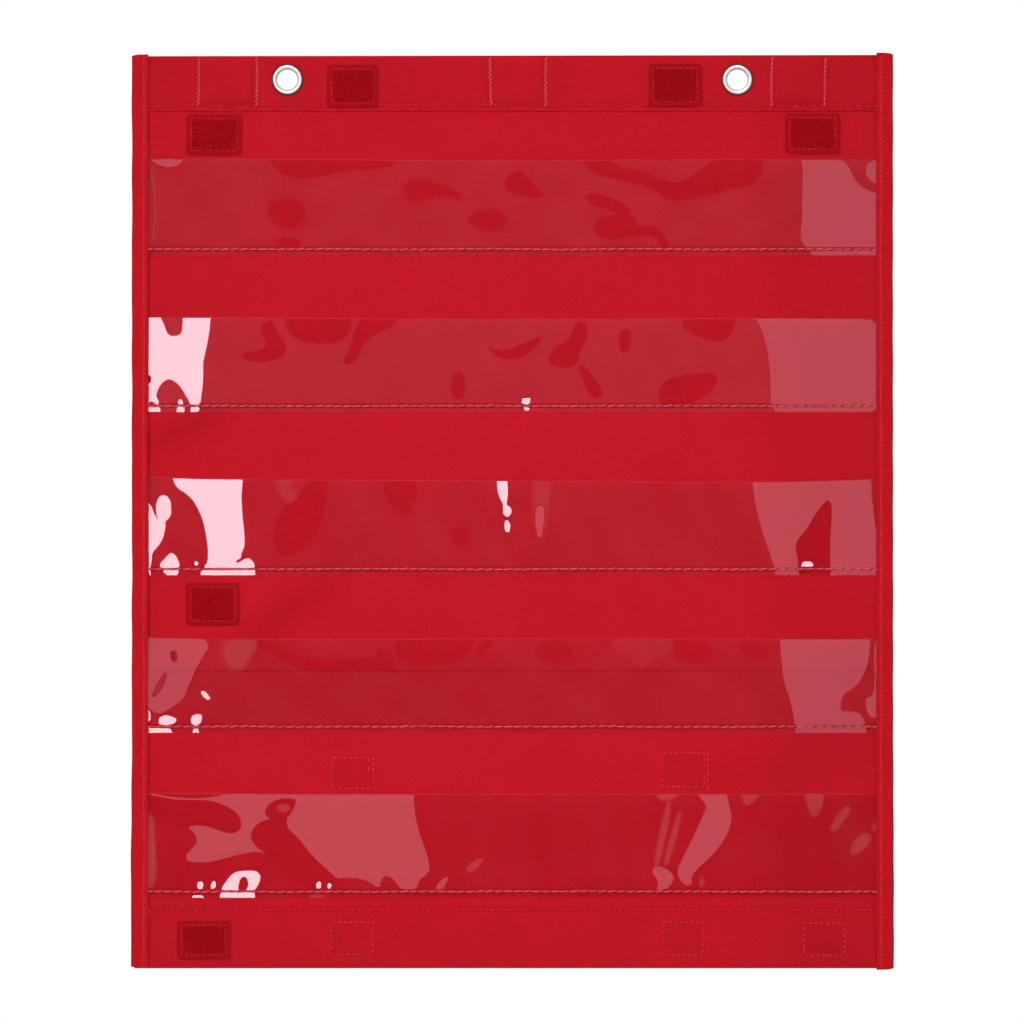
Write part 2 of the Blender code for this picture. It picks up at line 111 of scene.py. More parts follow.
# Where painted shade darkens the cloth to the left and to the right, as the light falls off, in the
# photograph's pixels across
LEFT_FALL = (160, 240)
RIGHT_FALL = (740, 800)

# Soft folds, each from one place to another in the photograph's pixels, with how far the cloth drops
# back across it and how wide the drop is. The drop faces down to the right, and painted shade darkens it.
FOLDS = (
    ((148, 446), (228, 410), 1.8 * MM, 14 * MM),
    ((246, 640), (328, 586), 2.0 * MM, 18 * MM),
    ((690, 792), (870, 738), 1.6 * MM, 30 * MM),
)


def photo_place(across, down):
    """The x and z, on the chart, of a place given in the photograph's pixels."""
    pixel = VIEW_WIDTH / FRAME_PIXELS
    half = FRAME_PIXELS / 2
    return VIEW_CENTRE.x + (across - half) * pixel, VIEW_CENTRE.z - (down - half) * pixel


def photo_column(across):
    """The x of a column of the photograph."""
    return photo_place(across, 0)[0]


FAINT_SEAM = photo_place(0, FAINT_SEAM_PIXEL)[1]
CELL_COLUMNS = [photo_column(pixel) for pixel in CELL_STITCH_PIXELS]


def patch_seam(node):
    """The low and high corners of a patch's stitched outline."""
    left, top, right, bottom = PATCH_SEAM_PIXELS[node]
    low_x, low_z = photo_place(left, bottom)
    high_x, high_z = photo_place(right, top)
    return Vector((low_x, 0, low_z)), Vector((high_x, 0, high_z))


def along_fold(x, z, start, end):
    """A fold's length, and how far along it and how far below its line each place is."""
    (start_x, start_z), (end_x, end_z) = photo_place(*start), photo_place(*end)
    length = math.hypot(end_x - start_x, end_z - start_z)
    way_x, way_z = (end_x - start_x) / length, (end_z - start_z) / length
    along = (x - start_x) * way_x + (z - start_z) * way_z
    below = (x - start_x) * way_z - (z - start_z) * way_x
    return length, along, below


# Node trees


class Term:
    """One value in a node tree. Sums on it add Math nodes."""

    def __init__(self, tree, socket):
        self.tree = tree
        self.socket = socket

    def maths(self, operation, first, second=0.0):
        node = self.tree.add("ShaderNodeMath", {"operation": operation}, {0: first, 1: second})
        return self.tree.out(node, 0)

    def __add__(self, other):
        return self.maths("ADD", self, other)

    def __radd__(self, other):
        return self.maths("ADD", other, self)

    def __sub__(self, other):
        return self.maths("SUBTRACT", self, other)

    def __rsub__(self, other):
        return self.maths("SUBTRACT", other, self)

    def __mul__(self, other):
        return self.maths("MULTIPLY", self, other)

    def __rmul__(self, other):
        return self.maths("MULTIPLY", other, self)

    def __truediv__(self, other):
        return self.maths("DIVIDE", self, other)

    def sine(self):
        return self.maths("SINE", self)

    def size(self):
        return self.maths("ABSOLUTE", self)

    def root(self):
        return self.maths("SQRT", self)

    def larger(self, other):
        return self.maths("MAXIMUM", self, other)


class Tree:
    """A node tree being built."""

    def __init__(self, nodes):
        self.nodes = nodes.nodes
        self.links = nodes.links

    def add(self, kind, settings=None, inputs=None):
        """A node of this type, with its settings made first and then its sockets' values or links."""
        node = self.nodes.new(kind)
        for name, value in (settings or {}).items():
            setattr(node, name, value)
        for name, value in (inputs or {}).items():
            if isinstance(value, Term):
                self.links.new(value.socket, node.inputs[name])
            else:
                node.inputs[name].default_value = value
        return node

    def out(self, node, name):
        return Term(self, node.outputs[name])

    def result(self, kind, settings, inputs, name):
        """One output of a new node."""
        return self.out(self.add(kind, settings, inputs), name)

    def stretched(self, place, across, depth, up):
        """The place with each of its parts multiplied, for a pattern that is longer one way."""
        sizes = {0: place, 1: (across, depth, up)}
        return self.result("ShaderNodeVectorMath", {"operation": "MULTIPLY"}, sizes, 0)

    def noise(self, place, pitch, detail=2.0):
        """Even noise from 0 to 1, whose lumps are about pitch metres apart."""
        sizes = {"Vector": place, "Scale": 1 / pitch, "Detail": detail}
        return self.result("ShaderNodeTexNoise", {"noise_dimensions": "3D"}, sizes, 0)

    def spread(self, value, low, high, to_low, to_high):
        """value moved from one range to another, and held inside it."""
        ends = {0: value, 1: low, 2: high, 3: to_low, 4: to_high}
        return self.result("ShaderNodeMapRange", {"clamp": True}, ends, 0)

    def blend(self, share, first, second):
        """A colour between two."""
        return self.result("ShaderNodeMix", {"data_type": "RGBA"}, {0: share, 6: first, 7: second}, 2)

    def bump(self, height, depth, strength):
        """A surface normal tilted by a height from 0 to 1 that stands for depth metres."""
        sizes = {"Height": height, "Distance": depth, "Strength": strength}
        return self.result("ShaderNodeBump", {}, sizes, 0)


def linear(red, green, blue):
    """A colour given in the screen's levels from 0 to 255, as the linear light that a shader takes."""
    shares = (level / SRGB_TOP for level in (red, green, blue))
    light = [share / 12.92 if share <= 0.04045 else ((share + 0.055) / 1.055) ** 2.4 for share in shares]
    return (*light, 1.0)


def shaded(colour, factor):
    """The colour made lighter or darker."""
    return (*(level * factor for level in colour[:3]), 1.0)


def new_finish(name):
    """An empty material, its tree, and the place on the piece in metres."""
    material = bpy.data.materials.new(name)
    material.use_nodes = True
    material.node_tree.nodes.clear()
    tree = Tree(material.node_tree)
    return material, tree, tree.result("ShaderNodeTexCoord", {}, {}, "Object")


def end_finish(tree, surface):
    """Feeds the surface into the material's output."""
    tree.add("ShaderNodeOutputMaterial", {}, {"Surface": surface})


def dress(tree, sockets):
    """Ends the tree in a Principled shader."""
    end_finish(tree, tree.result("ShaderNodeBsdfPrincipled", {}, sockets, 0))


def place_parts(tree, place):
    """How far across, back and up a place is."""
    parts = tree.add("ShaderNodeSeparateXYZ", {}, {"Vector": place})
    return [tree.out(parts, axis) for axis in "XYZ"]


# Finishes


def woven_finish(name, colour, pitch, sheen_colour, shade=None):
    """Plain-woven polyester: over and under threads, slubs along both threads, and soft uneven dye.

    shade gives how far painted shade darkens the cloth, where it is creased, doubled or shadowed, from 0 to
    1.
    """
    material, tree, place = new_finish(name)
    across, _, up = place_parts(tree, place)
    wander = tree.noise(place, 9 * pitch) - 0.5
    warp = ((across / pitch + wander * 0.5) * math.pi).sine()
    weft = ((up / pitch + wander * 0.5) * math.pi).sine()
    knuckle = (warp * weft).size()
    warp_slubs = tree.noise(tree.stretched(place, 1.0, 1.0, 0.4), pitch, 1.0)
    weft_slubs = tree.noise(tree.stretched(place, 0.4, 1.0, 1.0), pitch, 1.0)
    clouds = tree.noise(place, 30 * MM, 3.0)
    slubs = (warp_slubs + weft_slubs) * 0.5
    tone = (slubs - 0.5) * 1.5 + (clouds - 0.5) * 0.25 + knuckle * 0.12 + 0.45
    tinted = tree.blend(tone, shaded(colour, 0.8), shaded(colour, 1.2))
    # Painted shade: the cloth is blended towards a dark copy of its colour as far as shade gives.
    if shade:
        tinted = tree.blend(shade(tree, across, up), tinted, shaded(colour, 0.2))
    height = knuckle * 0.6 + slubs * 0.4
    dress(tree, {
        "Base Color": tinted,
        "Roughness": 0.78 - knuckle * 0.08,
        "Specular IOR Level": 0.05,
        "Sheen Weight": 0.05,
        "Sheen Roughness": 0.5,
        "Sheen Tint": sheen_colour,
        "Normal": tree.bump(height, 0.08 * MM, 0.6),
    })
    return material


def box_distance(across, up, low, high):
    """How far each place is outside an upright rectangle, whose corners are given as x and z."""
    off_side = (across - (low[0] + high[0]) / 2).size() - (high[0] - low[0]) / 2
    off_end = (up - (low[1] + high[1]) / 2).size() - (high[1] - low[1]) / 2
    return off_side.larger(off_end)


def off_eyelets(across, up):
    """How far each place on the chart is from the middle of the nearer eyelet."""
    left, right = middle("eyelet_left"), middle("eyelet_right")
    off_across = (across - (left.x + right.x) / 2).size() - (right.x - left.x) / 2
    off_up = up - left.z
    return (off_across * off_across + off_up * off_up).root()


def painted_fold_shade(tree, across, up):
    """How much painted shade darkens the folds' drops, by their steepness."""
    total = 0
    for start, end, drop, width in FOLDS:
        length, along, below = along_fold(across, up, start, end)
        off_middle = (along - length / 2).size()
        ends = tree.spread(off_middle, length / 2 - 12 * MM, length / 2 + 12 * MM, 1, 0)
        total = tree.spread(below.size(), 0, width * 0.7, 1.2 * drop / width, 0) * ends + total
    return total


def painted_cloth_shade(tree, across, up):
    """Painted shade on the cloth: where it is doubled, folded or drawn in, by a tape or eyelet, and to the
    sides.

    Each line gives how far off the shade is full and how far off it ends, then how deep it is.
    """
    wide = CLOTH_HIGH.x
    # Painted shade where the cloth is doubled: both hems, and the strip between the fourth pocket seam and
    # the faint seam.
    doubled = [
        ((-wide, TOP_HEM_EDGE), (wide, CLOTH_HIGH.z + MM)),
        ((-wide, CLOTH_LOW.z - MM), (wide, BOTTOM_HEM_EDGE)),
        ((-wide, POCKET_SEAMS[3]), (wide, FAINT_SEAM)),
    ]
    # Painted shade down each fold's drop.
    shade = painted_fold_shade(tree, across, up)
    for low, high in doubled:
        shade = tree.spread(box_distance(across, up, low, high), -0.4 * MM, 0.4 * MM, 0.05, 0) + shade
    # Painted shade over each rear hook patch, and a painted shade line along its stitched outline.
    for number in range(1, HOOK_PATCHES + 1):
        low, high = patch_seam(f"hook_patch_{number}")
        off_seam = box_distance(across, up, (low.x, low.z), (high.x, high.z))
        shade = tree.spread(off_seam, -0.4 * MM, 0.4 * MM, 0.07, 0) + shade
        shade = tree.spread(off_seam.size(), 0.3 * MM, 0.9 * MM, 0.14, 0) + shade
    # Painted shade lines along the pocket seams and the faint seam.
    for height in POCKET_SEAMS:
        shade = tree.spread((up - height).size(), 0.4 * MM, 1.2 * MM, 0.12, 0) + shade
    shade = tree.spread((up - FAINT_SEAM).size(), 0.2 * MM, 0.7 * MM, 0.12, 0) + shade
    # Painted shade along the hem's cell stitches.
    in_hem = tree.spread(up, TOP_HEM_SEAM, TOP_HEM_SEAM + MM, 0, 0.13)
    for column in CELL_COLUMNS:
        shade = tree.spread((across - column).size(), 0.5 * MM, 1.2 * MM, 1, 0) * in_hem + shade
    # Painted shadow along both tapes' inner edges.
    shade = tree.spread(TAPE_LOW.x - across.size(), 0.4 * MM, 1.5 * MM, 0.2, 0) + shade
    # Painted shade where the light falls off to the right and to the left.
    shade = tree.spread(across, *map(photo_column, RIGHT_FALL), 0, 0.1) + shade
    shade = tree.spread(across, *map(photo_column, LEFT_FALL), 0.04, 0) + shade
    # Painted shadow round each eyelet's flange.
    return tree.spread(off_eyelets(across, up), EYELET_FLANGE, EYELET_FLANGE + 0.6 * MM, 0.85, 0) + shade


def film_finish():
    """Clear vinyl: it lets light through, mirrors like a denser glass, and has faint smears."""
    material, tree, place = new_finish("clear_vinyl")
    smears = tree.noise(place, 18 * MM, 3.0)
    rough = tree.spread(smears, 0.35, 0.75, 0.015, 0.035)
    mirror = tree.result("ShaderNodeFresnel", {}, {"IOR": 1.79}, 0)
    inside = tree.result("ShaderNodeNewGeometry", {}, {}, "Backfacing")
    clear = tree.result("ShaderNodeBsdfTransparent", {}, {"Color": (0.987, 0.98, 0.983, 1.0)}, 0)
    mirrored = {"Base Color": (1.0, 1.0, 1.0, 1.0), "Metallic": 1.0, "Roughness": rough}
    gloss = tree.result("ShaderNodeBsdfPrincipled", {}, mirrored, 0)
    shaders = {0: mirror * (1 - inside), 1: clear, 2: gloss}
    end_finish(tree, tree.result("ShaderNodeMixShader", {}, shaders, 0))
    return material


def cut_edge_finish():
    """The film's cut edge, milky and pale: its pale colour is partly the cut's own and partly painted
    highlight.
    """
    material, tree, place = new_finish("vinyl_cut_edge")
    nicks = tree.noise(place, 2 * MM)
    dress(tree, {
        # The pale colour is partly painted highlight for the light the cut edge catches.
        "Base Color": tree.blend(nicks, linear(225, 150, 156), linear(238, 190, 196)),
        "Roughness": 0.3,
        "Alpha": tree.spread(nicks, 0.3, 0.7, 0.02, 0.07),
    })
    return material


def thread_finish(name, colour):
    """Twisted polyester thread with a soft shine, and painted shade at each stitch's ends, where the thread
    goes into its hole.
    """
    material, tree, place = new_finish(name)
    across, depth, up = place_parts(tree, place)
    twist = ((across + up + depth) / (0.35 * MM) * math.pi).sine() * 0.5 + 0.5
    fuzz = tree.noise(place, 1.5 * MM)
    tone = twist * 0.4 + fuzz * 0.5
    tinted = tree.blend(tone, shaded(colour, 0.84), shaded(colour, 1.14))
    along = tree.result("ShaderNodeAttribute", {"attribute_name": ALONG}, {}, "Fac")
    # Painted shade at the ends of each stitch, towards a dark red.
    dive_shade = tree.spread((along - 0.5).size(), 0.28, 0.5, 0, 0.75)
    dress(tree, {
        "Base Color": tree.blend(dive_shade, tinted, shaded(CLOTH_RED, 0.3)),
        "Roughness": 0.75,
        "Specular IOR Level": 0.04,
        "Normal": tree.bump(twist, 0.04 * MM, 0.6),
    })
    return material


def pile_finish(name, colour, pale):
    """Nylon loops or hooks, whose tips catch the light."""
    material, tree, place = new_finish(name)
    speckle = tree.noise(place, 0.9 * MM)
    clumps = tree.noise(place, 4 * MM)
    tone = tree.spread(speckle * 0.6 + clumps * 0.4, 0.4, 0.62, 0.0, 1.0)
    dress(tree, {
        "Base Color": tree.blend(tone, colour, pale),
        "Roughness": tree.spread(clumps, 0.3, 0.7, 0.45, 0.6),
        "Specular IOR Level": 0.15,
    })
    return material


def metal_finish():
    """Bright nickel plate with fine turning marks and small dents, painted shade at the flange's outer rim
    and round the bore, and a painted reflection of the red cloth in its pink tint.
    """
    material, tree, place = new_finish("bright_nickel")
    across, _, up = place_parts(tree, place)
    marks = tree.noise(place, 0.5 * MM, 3.0)
    dents = tree.noise(place, 2.5 * MM, 1.0)
    # The plate's pale colour is the nickel's own, and its pink tint is a painted reflection of the red
    # cloth.
    plate = tree.blend(dents, linear(236, 219, 217), linear(246, 232, 230))
    off_centre = off_eyelets(across, up)
    # Painted shade at the flange's outer rim, where the metal meets the cloth.
    rim_shade = tree.spread(off_centre, EYELET_FLANGE - 0.7 * MM, EYELET_FLANGE - 0.3 * MM, 0, 0.95)
    # Painted shade round the edge of the bore.
    bore_shade = tree.spread(off_centre, EYELET_BORE + 0.05 * MM, EYELET_BORE + 0.4 * MM, 0.45, 0)
    dress(tree, {
        "Base Color": tree.blend(rim_shade.larger(bore_shade), plate, linear(78, 72, 70)),
        "Metallic": 0.45,
        "Roughness": tree.spread(marks, 0.3, 0.7, 0.3, 0.42),
        "Normal": tree.bump(dents * 0.7 + marks * 0.3, 0.05 * MM, 0.5),
    })
    return material


def magnet_finish():
    """Dark sintered ferrite, speckled and slightly pitted."""
    material, tree, place = new_finish("dark_ferrite")
    grains = tree.noise(place, 0.6 * MM, 4.0)
    pits = tree.spread(tree.noise(place, 1.4 * MM), 0.28, 0.4, 0.0, 1.0)
    dress(tree, {
        "Base Color": tree.blend(grains, linear(52, 52, 56), linear(92, 92, 97)),
        "Roughness": tree.spread(grains, 0.3, 0.7, 0.5, 0.75),
        "Normal": tree.bump(pits * 0.7 + grains * 0.3, 0.08 * MM, 0.7),
    })
    return material


# The name of the share of a stitch's length that each of its points lies at
ALONG = "along"

CLOTH_RED = linear(196, 22, 35)
TAPE_RED = linear(193, 20, 30)
CLOTH = woven_finish("woven_polyester", CLOTH_RED, 0.5 * MM, (0.9, 0.12, 0.15, 1.0), painted_cloth_shade)
TAPE = woven_finish("woven_tape", TAPE_RED, 0.7 * MM, (0.9, 0.14, 0.17, 1.0))
PATCH_TAPE = woven_finish("patch_tape", linear(166, 10, 20), 0.6 * MM, (0.9, 0.1, 0.12, 1.0))
FILM = film_finish()
CUT_EDGE = cut_edge_finish()
POCKET_THREAD = thread_finish("pocket_thread", linear(218, 92, 104))
HEM_THREAD = thread_finish("hem_thread", linear(208, 33, 47))
TAPE_THREAD = thread_finish("tape_thread", linear(216, 46, 57))
LOOP_PATCH_THREAD = thread_finish("loop_patch_thread", linear(190, 35, 48))
HOOK_PATCH_THREAD = thread_finish("hook_patch_thread", linear(209, 47, 59))
CELL_THREAD = thread_finish("cell_thread", linear(232, 86, 98))
FAINT_THREAD = thread_finish("faint_thread", linear(196, 26, 38))
LOOPS = pile_finish("nylon_loops", linear(192, 4, 13), linear(203, 8, 18))
HOOKS = pile_finish("nylon_hooks", linear(140, 8, 16), linear(172, 20, 30))
METAL = metal_finish()
MAGNET = magnet_finish()


# Shapes


def ease(share):
    """A smooth step from 0 to 1."""
    held = np.clip(share, 0, 1)
    return held * held * (3 - 2 * held)


def ripple(x, z, lengths, seed):
    """A smooth uneven value, mostly from -1 to 1: waves of these lengths in mixed directions."""
    chance = np.random.default_rng(seed)
    total = np.zeros(np.broadcast(x, z).shape)
    for length in lengths:
        turn, phase = chance.uniform(0, 2 * math.pi, 2)
        total += np.sin(2 * math.pi * (x * math.cos(turn) + z * math.sin(turn)) / length + phase)
    return total / math.sqrt(len(lengths))


def fold_height(x, z, start, end, drop, width):
    """How far forward one fold holds the cloth: full above its line, none below, fading further off."""
    length, along, below = along_fold(x, z, start, end)
    ends = ease(along / (25 * MM) + 0.5) * ease((length - along) / (25 * MM) + 0.5)
    return drop * ends * (1 - ease(below / width + 0.5)) * ease(1 + below / (70 * MM))


def hang(x, z):
    """How far the hanging cloth stands forward of flat, in metres. It is flat along the top hem."""
    loose = ease((TOP_HEM_EDGE - z) / (60 * MM))
    forward = 0.8 * MM + 0.5 * MM * ripple(x, z, (310 * MM, 190 * MM, 120 * MM), 7)
    for fold in FOLDS:
        forward = forward + fold_height(x, z, *fold)
    return loose * forward


def rounded(mesh, angle=40):
    """Shades the mesh smooth, apart from its sharp edges."""
    mesh.shade_smooth()
    mesh.set_sharp_from_angle(angle=math.radians(angle))


def place_mesh(name, mesh, finishes=()):
    """The mesh, with these finishes, as an object."""
    for finish in finishes:
        mesh.materials.append(finish)
    piece = bpy.data.objects.new(name, mesh)
    bpy.context.scene.collection.objects.link(piece)
    return piece


def new_piece(name, points, faces, finishes):
    """A mesh object of these points and faces."""
    mesh = bpy.data.meshes.new(name)
    mesh.from_pydata([tuple(point) for point in points], [], [tuple(face) for face in faces])
    return place_mesh(name, mesh, finishes)


def grid_cells(rows, columns):
    """The four-cornered faces between the points of a grid."""
    place = np.arange(rows * columns).reshape(rows, columns)
    return np.stack([place[:-1, :-1], place[:-1, 1:], place[1:, 1:], place[1:, :-1]], -1).reshape(-1, 4)


def shell(name, surface, outward, thickness, finishes):
    """A closed sheet of even thickness about a grid of points. outward points out of its outer face."""
    rows, columns = surface.shape[:2]
    outer = (surface + outward * thickness / 2).reshape(-1, 3)
    inner = (surface - outward * thickness / 2).reshape(-1, 3)
    place = np.arange(rows * columns).reshape(rows, columns)
    cells = grid_cells(rows, columns)
    rim = np.concatenate([place[0, :-1], place[:-1, -1], place[-1, :0:-1], place[:0:-1, 0]])
    behind = rows * columns
    walls = np.stack([np.roll(rim, -1), rim, rim + behind, np.roll(rim, -1) + behind], -1)
    faces = np.concatenate([cells, cells[:, ::-1] + behind, walls])
    first = np.cross(surface[0, 1] - surface[0, 0], surface[1, 0] - surface[0, 0])
    if np.dot(first, outward[0, 0]) < 0:
        faces = faces[:, ::-1]
    return new_piece(name, np.concatenate([outer, inner]), faces, finishes)


RING_SIDES = 96


def turned(name, centre, profile, finish):
    """A ring turned about a line through centre that runs front to back. profile is closed: radius, y."""
    points = []
    for step in range(RING_SIDES):
        turn = 2 * math.pi * step / RING_SIDES
        for radius, y in profile:
            points.append((centre.x + radius * math.cos(turn), y, centre.z + radius * math.sin(turn)))
    count = len(profile)
    faces = []
    for step in range(RING_SIDES):
        here, there = step * count, (step + 1) % RING_SIDES * count
        for part in range(count):
            after = (part + 1) % count
            faces.append((here + part, here + after, there + after, there + part))
    piece = new_piece(name, points, faces, [finish])
    face_outwards(piece.data)
    rounded(piece.data, 50)
    return piece


def face_outwards(mesh):
    """Turns a closed mesh's faces outwards."""
    work = bmesh.new()
    work.from_mesh(mesh)
    bmesh.ops.recalc_face_normals(work, faces=work.faces)
    work.to_mesh(mesh)
    work.free()


def settle(piece):
    """Applies the piece's modifiers, so that it is a plain mesh."""
    bpy.context.view_layer.update()
    graph = bpy.context.evaluated_depsgraph_get()
    made = bpy.data.meshes.new_from_object(piece.evaluated_get(graph), depsgraph=graph)
    piece.modifiers.clear()
    piece.data = made
    return piece


def join(name, parts):
    """Several mesh objects as one."""
    work = bmesh.new()
    finishes = []
    for part in parts:
        start = len(work.faces)
        work.from_mesh(part.data)
        work.faces.ensure_lookup_table()
        slots = []
        for finish in part.data.materials:
            if finish not in finishes:
                finishes.append(finish)
            slots.append(finishes.index(finish))
        for face in work.faces[start:]:
            face.material_index = slots[face.material_index]
    mesh = bpy.data.meshes.new(name)
    work.to_mesh(mesh)
    work.free()
    for part in parts:
        bpy.data.objects.remove(part)
    return place_mesh(name, mesh, finishes)


def finish_piece(piece, slot, *nodes):
    """Hangs the piece on the object's one body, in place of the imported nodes."""
    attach(piece, "root")
    if nodes:
        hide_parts(*nodes)
    return piece


# Geometry trees


def new_geometry(name, inputs):
    """A geometry tree whose named inputs follow the incoming geometry. Gives the tree and its terms."""
    group = bpy.data.node_groups.new(name, "GeometryNodeTree")
    group.interface.new_socket("Geometry", in_out="INPUT", socket_type="NodeSocketGeometry")
    group.interface.new_socket("Geometry", in_out="OUTPUT", socket_type="NodeSocketGeometry")
    for label, kind in inputs.items():
        group.interface.new_socket(label, in_out="INPUT", socket_type=kind)
    tree = Tree(group)
    source = tree.add("NodeGroupInput")
    terms = {label: tree.out(source, label) for label in ("Geometry", *inputs)}
    return group, tree, terms


def thread_arch(tree, steps, start, peak, end):
    """A curve from start to end that is drawn towards peak, each given by its axes."""
    places = [tree.result("ShaderNodeCombineXYZ", {}, axes, 0) for axes in (start, peak, end)]
    sizes = {"Resolution": steps, "Start": places[0], "Middle": places[1], "End": places[2]}
    return tree.result("GeometryNodeCurveQuadraticBezier", {}, sizes, "Curve")


def thread_tube(tree, path, sides, radius):
    """A closed length of thread along a path."""
    sizes = {"Resolution": sides, "Radius": radius}
    ring = tree.result("GeometryNodeCurvePrimitiveCircle", {"mode": "RADIUS"}, sizes, "Curve")
    sweep = {"Curve": path, "Profile Curve": ring, "Fill Caps": True}
    return tree.result("GeometryNodeCurveToMesh", {}, sweep, "Mesh")


def uneven(tree, low, high, seed):
    """A number for each point, unevenly between two."""
    ends = {2: low, 3: high, "Seed": seed}
    return tree.result("FunctionNodeRandomValue", {"data_type": "FLOAT"}, ends, 1)


def turned_further(tree, rotation, turn):
    """A rotation turned further about its own axes."""
    turned_by = tree.result("FunctionNodeEulerToRotation", {}, {"Euler": turn}, "Rotation")
    parts = {"Rotation": rotation, "Rotate By": turned_by}
    return tree.result("FunctionNodeRotateRotation", {"rotation_space": "LOCAL"}, parts, "Rotation")


def lay_and_end(tree, points, thread, rotation, size, finish):
    """Lays the thread at each point, as real mesh with its finish, and ends the tree."""
    laying = {"Points": points, "Instance": thread, "Rotation": rotation, "Scale": size}
    laid = tree.result("GeometryNodeInstanceOnPoints", {}, laying, "Instances")
    real = tree.result("GeometryNodeRealizeInstances", {}, {"Geometry": laid}, "Geometry")
    faced = tree.result("GeometryNodeSetMaterial", {}, {"Geometry": real, "Material": finish}, "Geometry")
    tree.add("NodeGroupOutput", {}, {"Geometry": faced})


def run_geometry(piece, group, values):
    """Puts the piece through a geometry tree and keeps the result as a plain mesh."""
    modifier = piece.modifiers.new(group.name, "NODES")
    modifier.node_group = group
    for socket in group.interface.items_tree:
        if socket.in_out == "INPUT" and socket.name in values:
            modifier[socket.identifier] = values[socket.name]
    return settle(piece)


def stitch_tree():
    """Lays one stitch after another along a path, each a short arch of thread."""
    group, tree, given = new_geometry("stitches", {
        "Pitch": "NodeSocketFloat",
        "Stitch": "NodeSocketFloat",
        "Thread radius": "NodeSocketFloat",
        "Lift": "NodeSocketFloat",
        "Slant": "NodeSocketFloat",
        "Facing": "NodeSocketVector",
        "Seed": "NodeSocketInt",
        "Finish": "NodeSocketMaterial",
    })
    path = tree.result("GeometryNodeMeshToCurve", {}, {"Mesh": given["Geometry"]}, "Curve")
    spacing = {"Curve": path, "Length": given["Pitch"]}
    spaced = tree.result("GeometryNodeResampleCurve", {"mode": "LENGTH"}, spacing, "Curve")
    half = given["Stitch"] * 0.5
    dip = given["Thread radius"] * -1.2
    peak = {"Z": given["Lift"] * 2}
    arch = thread_arch(tree, 8, {"X": half * -1, "Z": dip}, peak, {"X": half, "Z": dip})
    share = tree.result("GeometryNodeSplineParameter", {}, {}, "Factor")
    arch = tree.result(
        "GeometryNodeStoreNamedAttribute", {"data_type": "FLOAT", "domain": "POINT"},
        {"Geometry": arch, "Name": ALONG, "Value": share}, "Geometry",
    )
    thread = thread_tube(tree, arch, 6, given["Thread radius"])
    tangent = tree.result("GeometryNodeInputTangent", {}, {}, "Tangent")
    align = "FunctionNodeAlignRotationToVector"
    along = tree.result(align, {"axis": "X"}, {"Vector": tangent}, "Rotation")
    facing = {"Rotation": along, "Vector": given["Facing"]}
    faced = tree.result(align, {"axis": "Z", "pivot_axis": "X"}, facing, "Rotation")
    unevenness = uneven(tree, -0.06, 0.06, given["Seed"])
    turn = tree.result("ShaderNodeCombineXYZ", {}, {"Z": given["Slant"] + unevenness}, 0)
    slanted = turned_further(tree, faced, turn)
    size = uneven(tree, 0.94, 1.04, given["Seed"] + 1)
    lay_and_end(tree, spaced, thread, slanted, size, given["Finish"])
    return group


def pile_tree():
    """Strews small loops of thread over a surface."""
    group, tree, given = new_geometry("pile", {
        "Spacing": "NodeSocketFloat",
        "Loop": "NodeSocketFloat",
        "Thread radius": "NodeSocketFloat",
        "Seed": "NodeSocketInt",
        "Finish": "NodeSocketMaterial",
    })
    strewn = tree.add(
        "GeometryNodeDistributePointsOnFaces", {"distribute_method": "POISSON"},
        {"Mesh": given["Geometry"], "Distance Min": given["Spacing"], "Density Max": 1.2e7,
         "Seed": given["Seed"]},
    )
    half = given["Loop"] * 0.45
    foot = half * -0.3
    peak = {"Y": half * 0.5, "Z": given["Loop"] * 1.9}
    arch = thread_arch(tree, 5, {"X": half * -1, "Z": foot}, peak, {"X": half, "Z": foot})
    loop = thread_tube(tree, arch, 3, given["Thread radius"])
    turn = tree.result(
        "FunctionNodeRandomValue", {"data_type": "FLOAT_VECTOR"},
        {0: (-0.5, -0.5, 0.0), 1: (0.5, 0.5, 2 * math.pi), "Seed": given["Seed"]}, 0,
    )
    leaning = turned_further(tree, tree.out(strewn, "Rotation"), turn)
    size = uneven(tree, 0.75, 1.15, given["Seed"] + 1)
    lay_and_end(tree, tree.out(strewn, "Points"), loop, leaning, size, given["Finish"])
    return group


STITCHES = stitch_tree()
PILE = pile_tree()
FORWARD = (0.0, -1.0, 0.0)
REARWARD = (0.0, 1.0, 0.0)


class Sewing:
    """How a row of stitches is sewn: its pitch, and each stitch's length, radius, height and slant."""

    def __init__(self, pitch, stitch, radius, lift, slant):
        self.pitch = pitch * MM
        self.stitch = stitch * MM
        self.radius = radius * MM
        self.lift = lift * MM
        self.slant = slant


POCKET_SEWING = Sewing(4.4, 4.3, 0.36, 0.4, 0.12)
HEM_SEWING = Sewing(4.1, 2.8, 0.42, 0.28, 0.08)
LOW_HEM_SEWING = Sewing(2.7, 2.2, 0.42, 0.28, 0.1)
CELL_SEWING = Sewing(1.8, 2.4, 0.34, 0.38, -0.5)
TAPE_SEWING = Sewing(2.2, 2.1, 0.42, 0.26, -0.25)
PATCH_SEWING = Sewing(2.7, 2.2, 0.42, 0.28, 0.06)


# Cloth


def cell_swell(x, z):
    """1 over each magnet in the top hem, and 0 a little way off."""
    total = np.zeros(np.broadcast(x, z).shape)
    for side in CELLS:
        low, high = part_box(f"hem_magnet_{side}")
        off_side = np.maximum(np.maximum(low.x - x, x - high.x), 0)
        off_end = np.maximum(np.maximum(low.z - z, z - high.z), 0)
        total = np.maximum(total, 1 - ease(np.hypot(off_side, off_end) / (3.5 * MM)))
    return total


SEAM_DIP = 0.3 * MM
DIP_WIDTH = 0.9 * MM


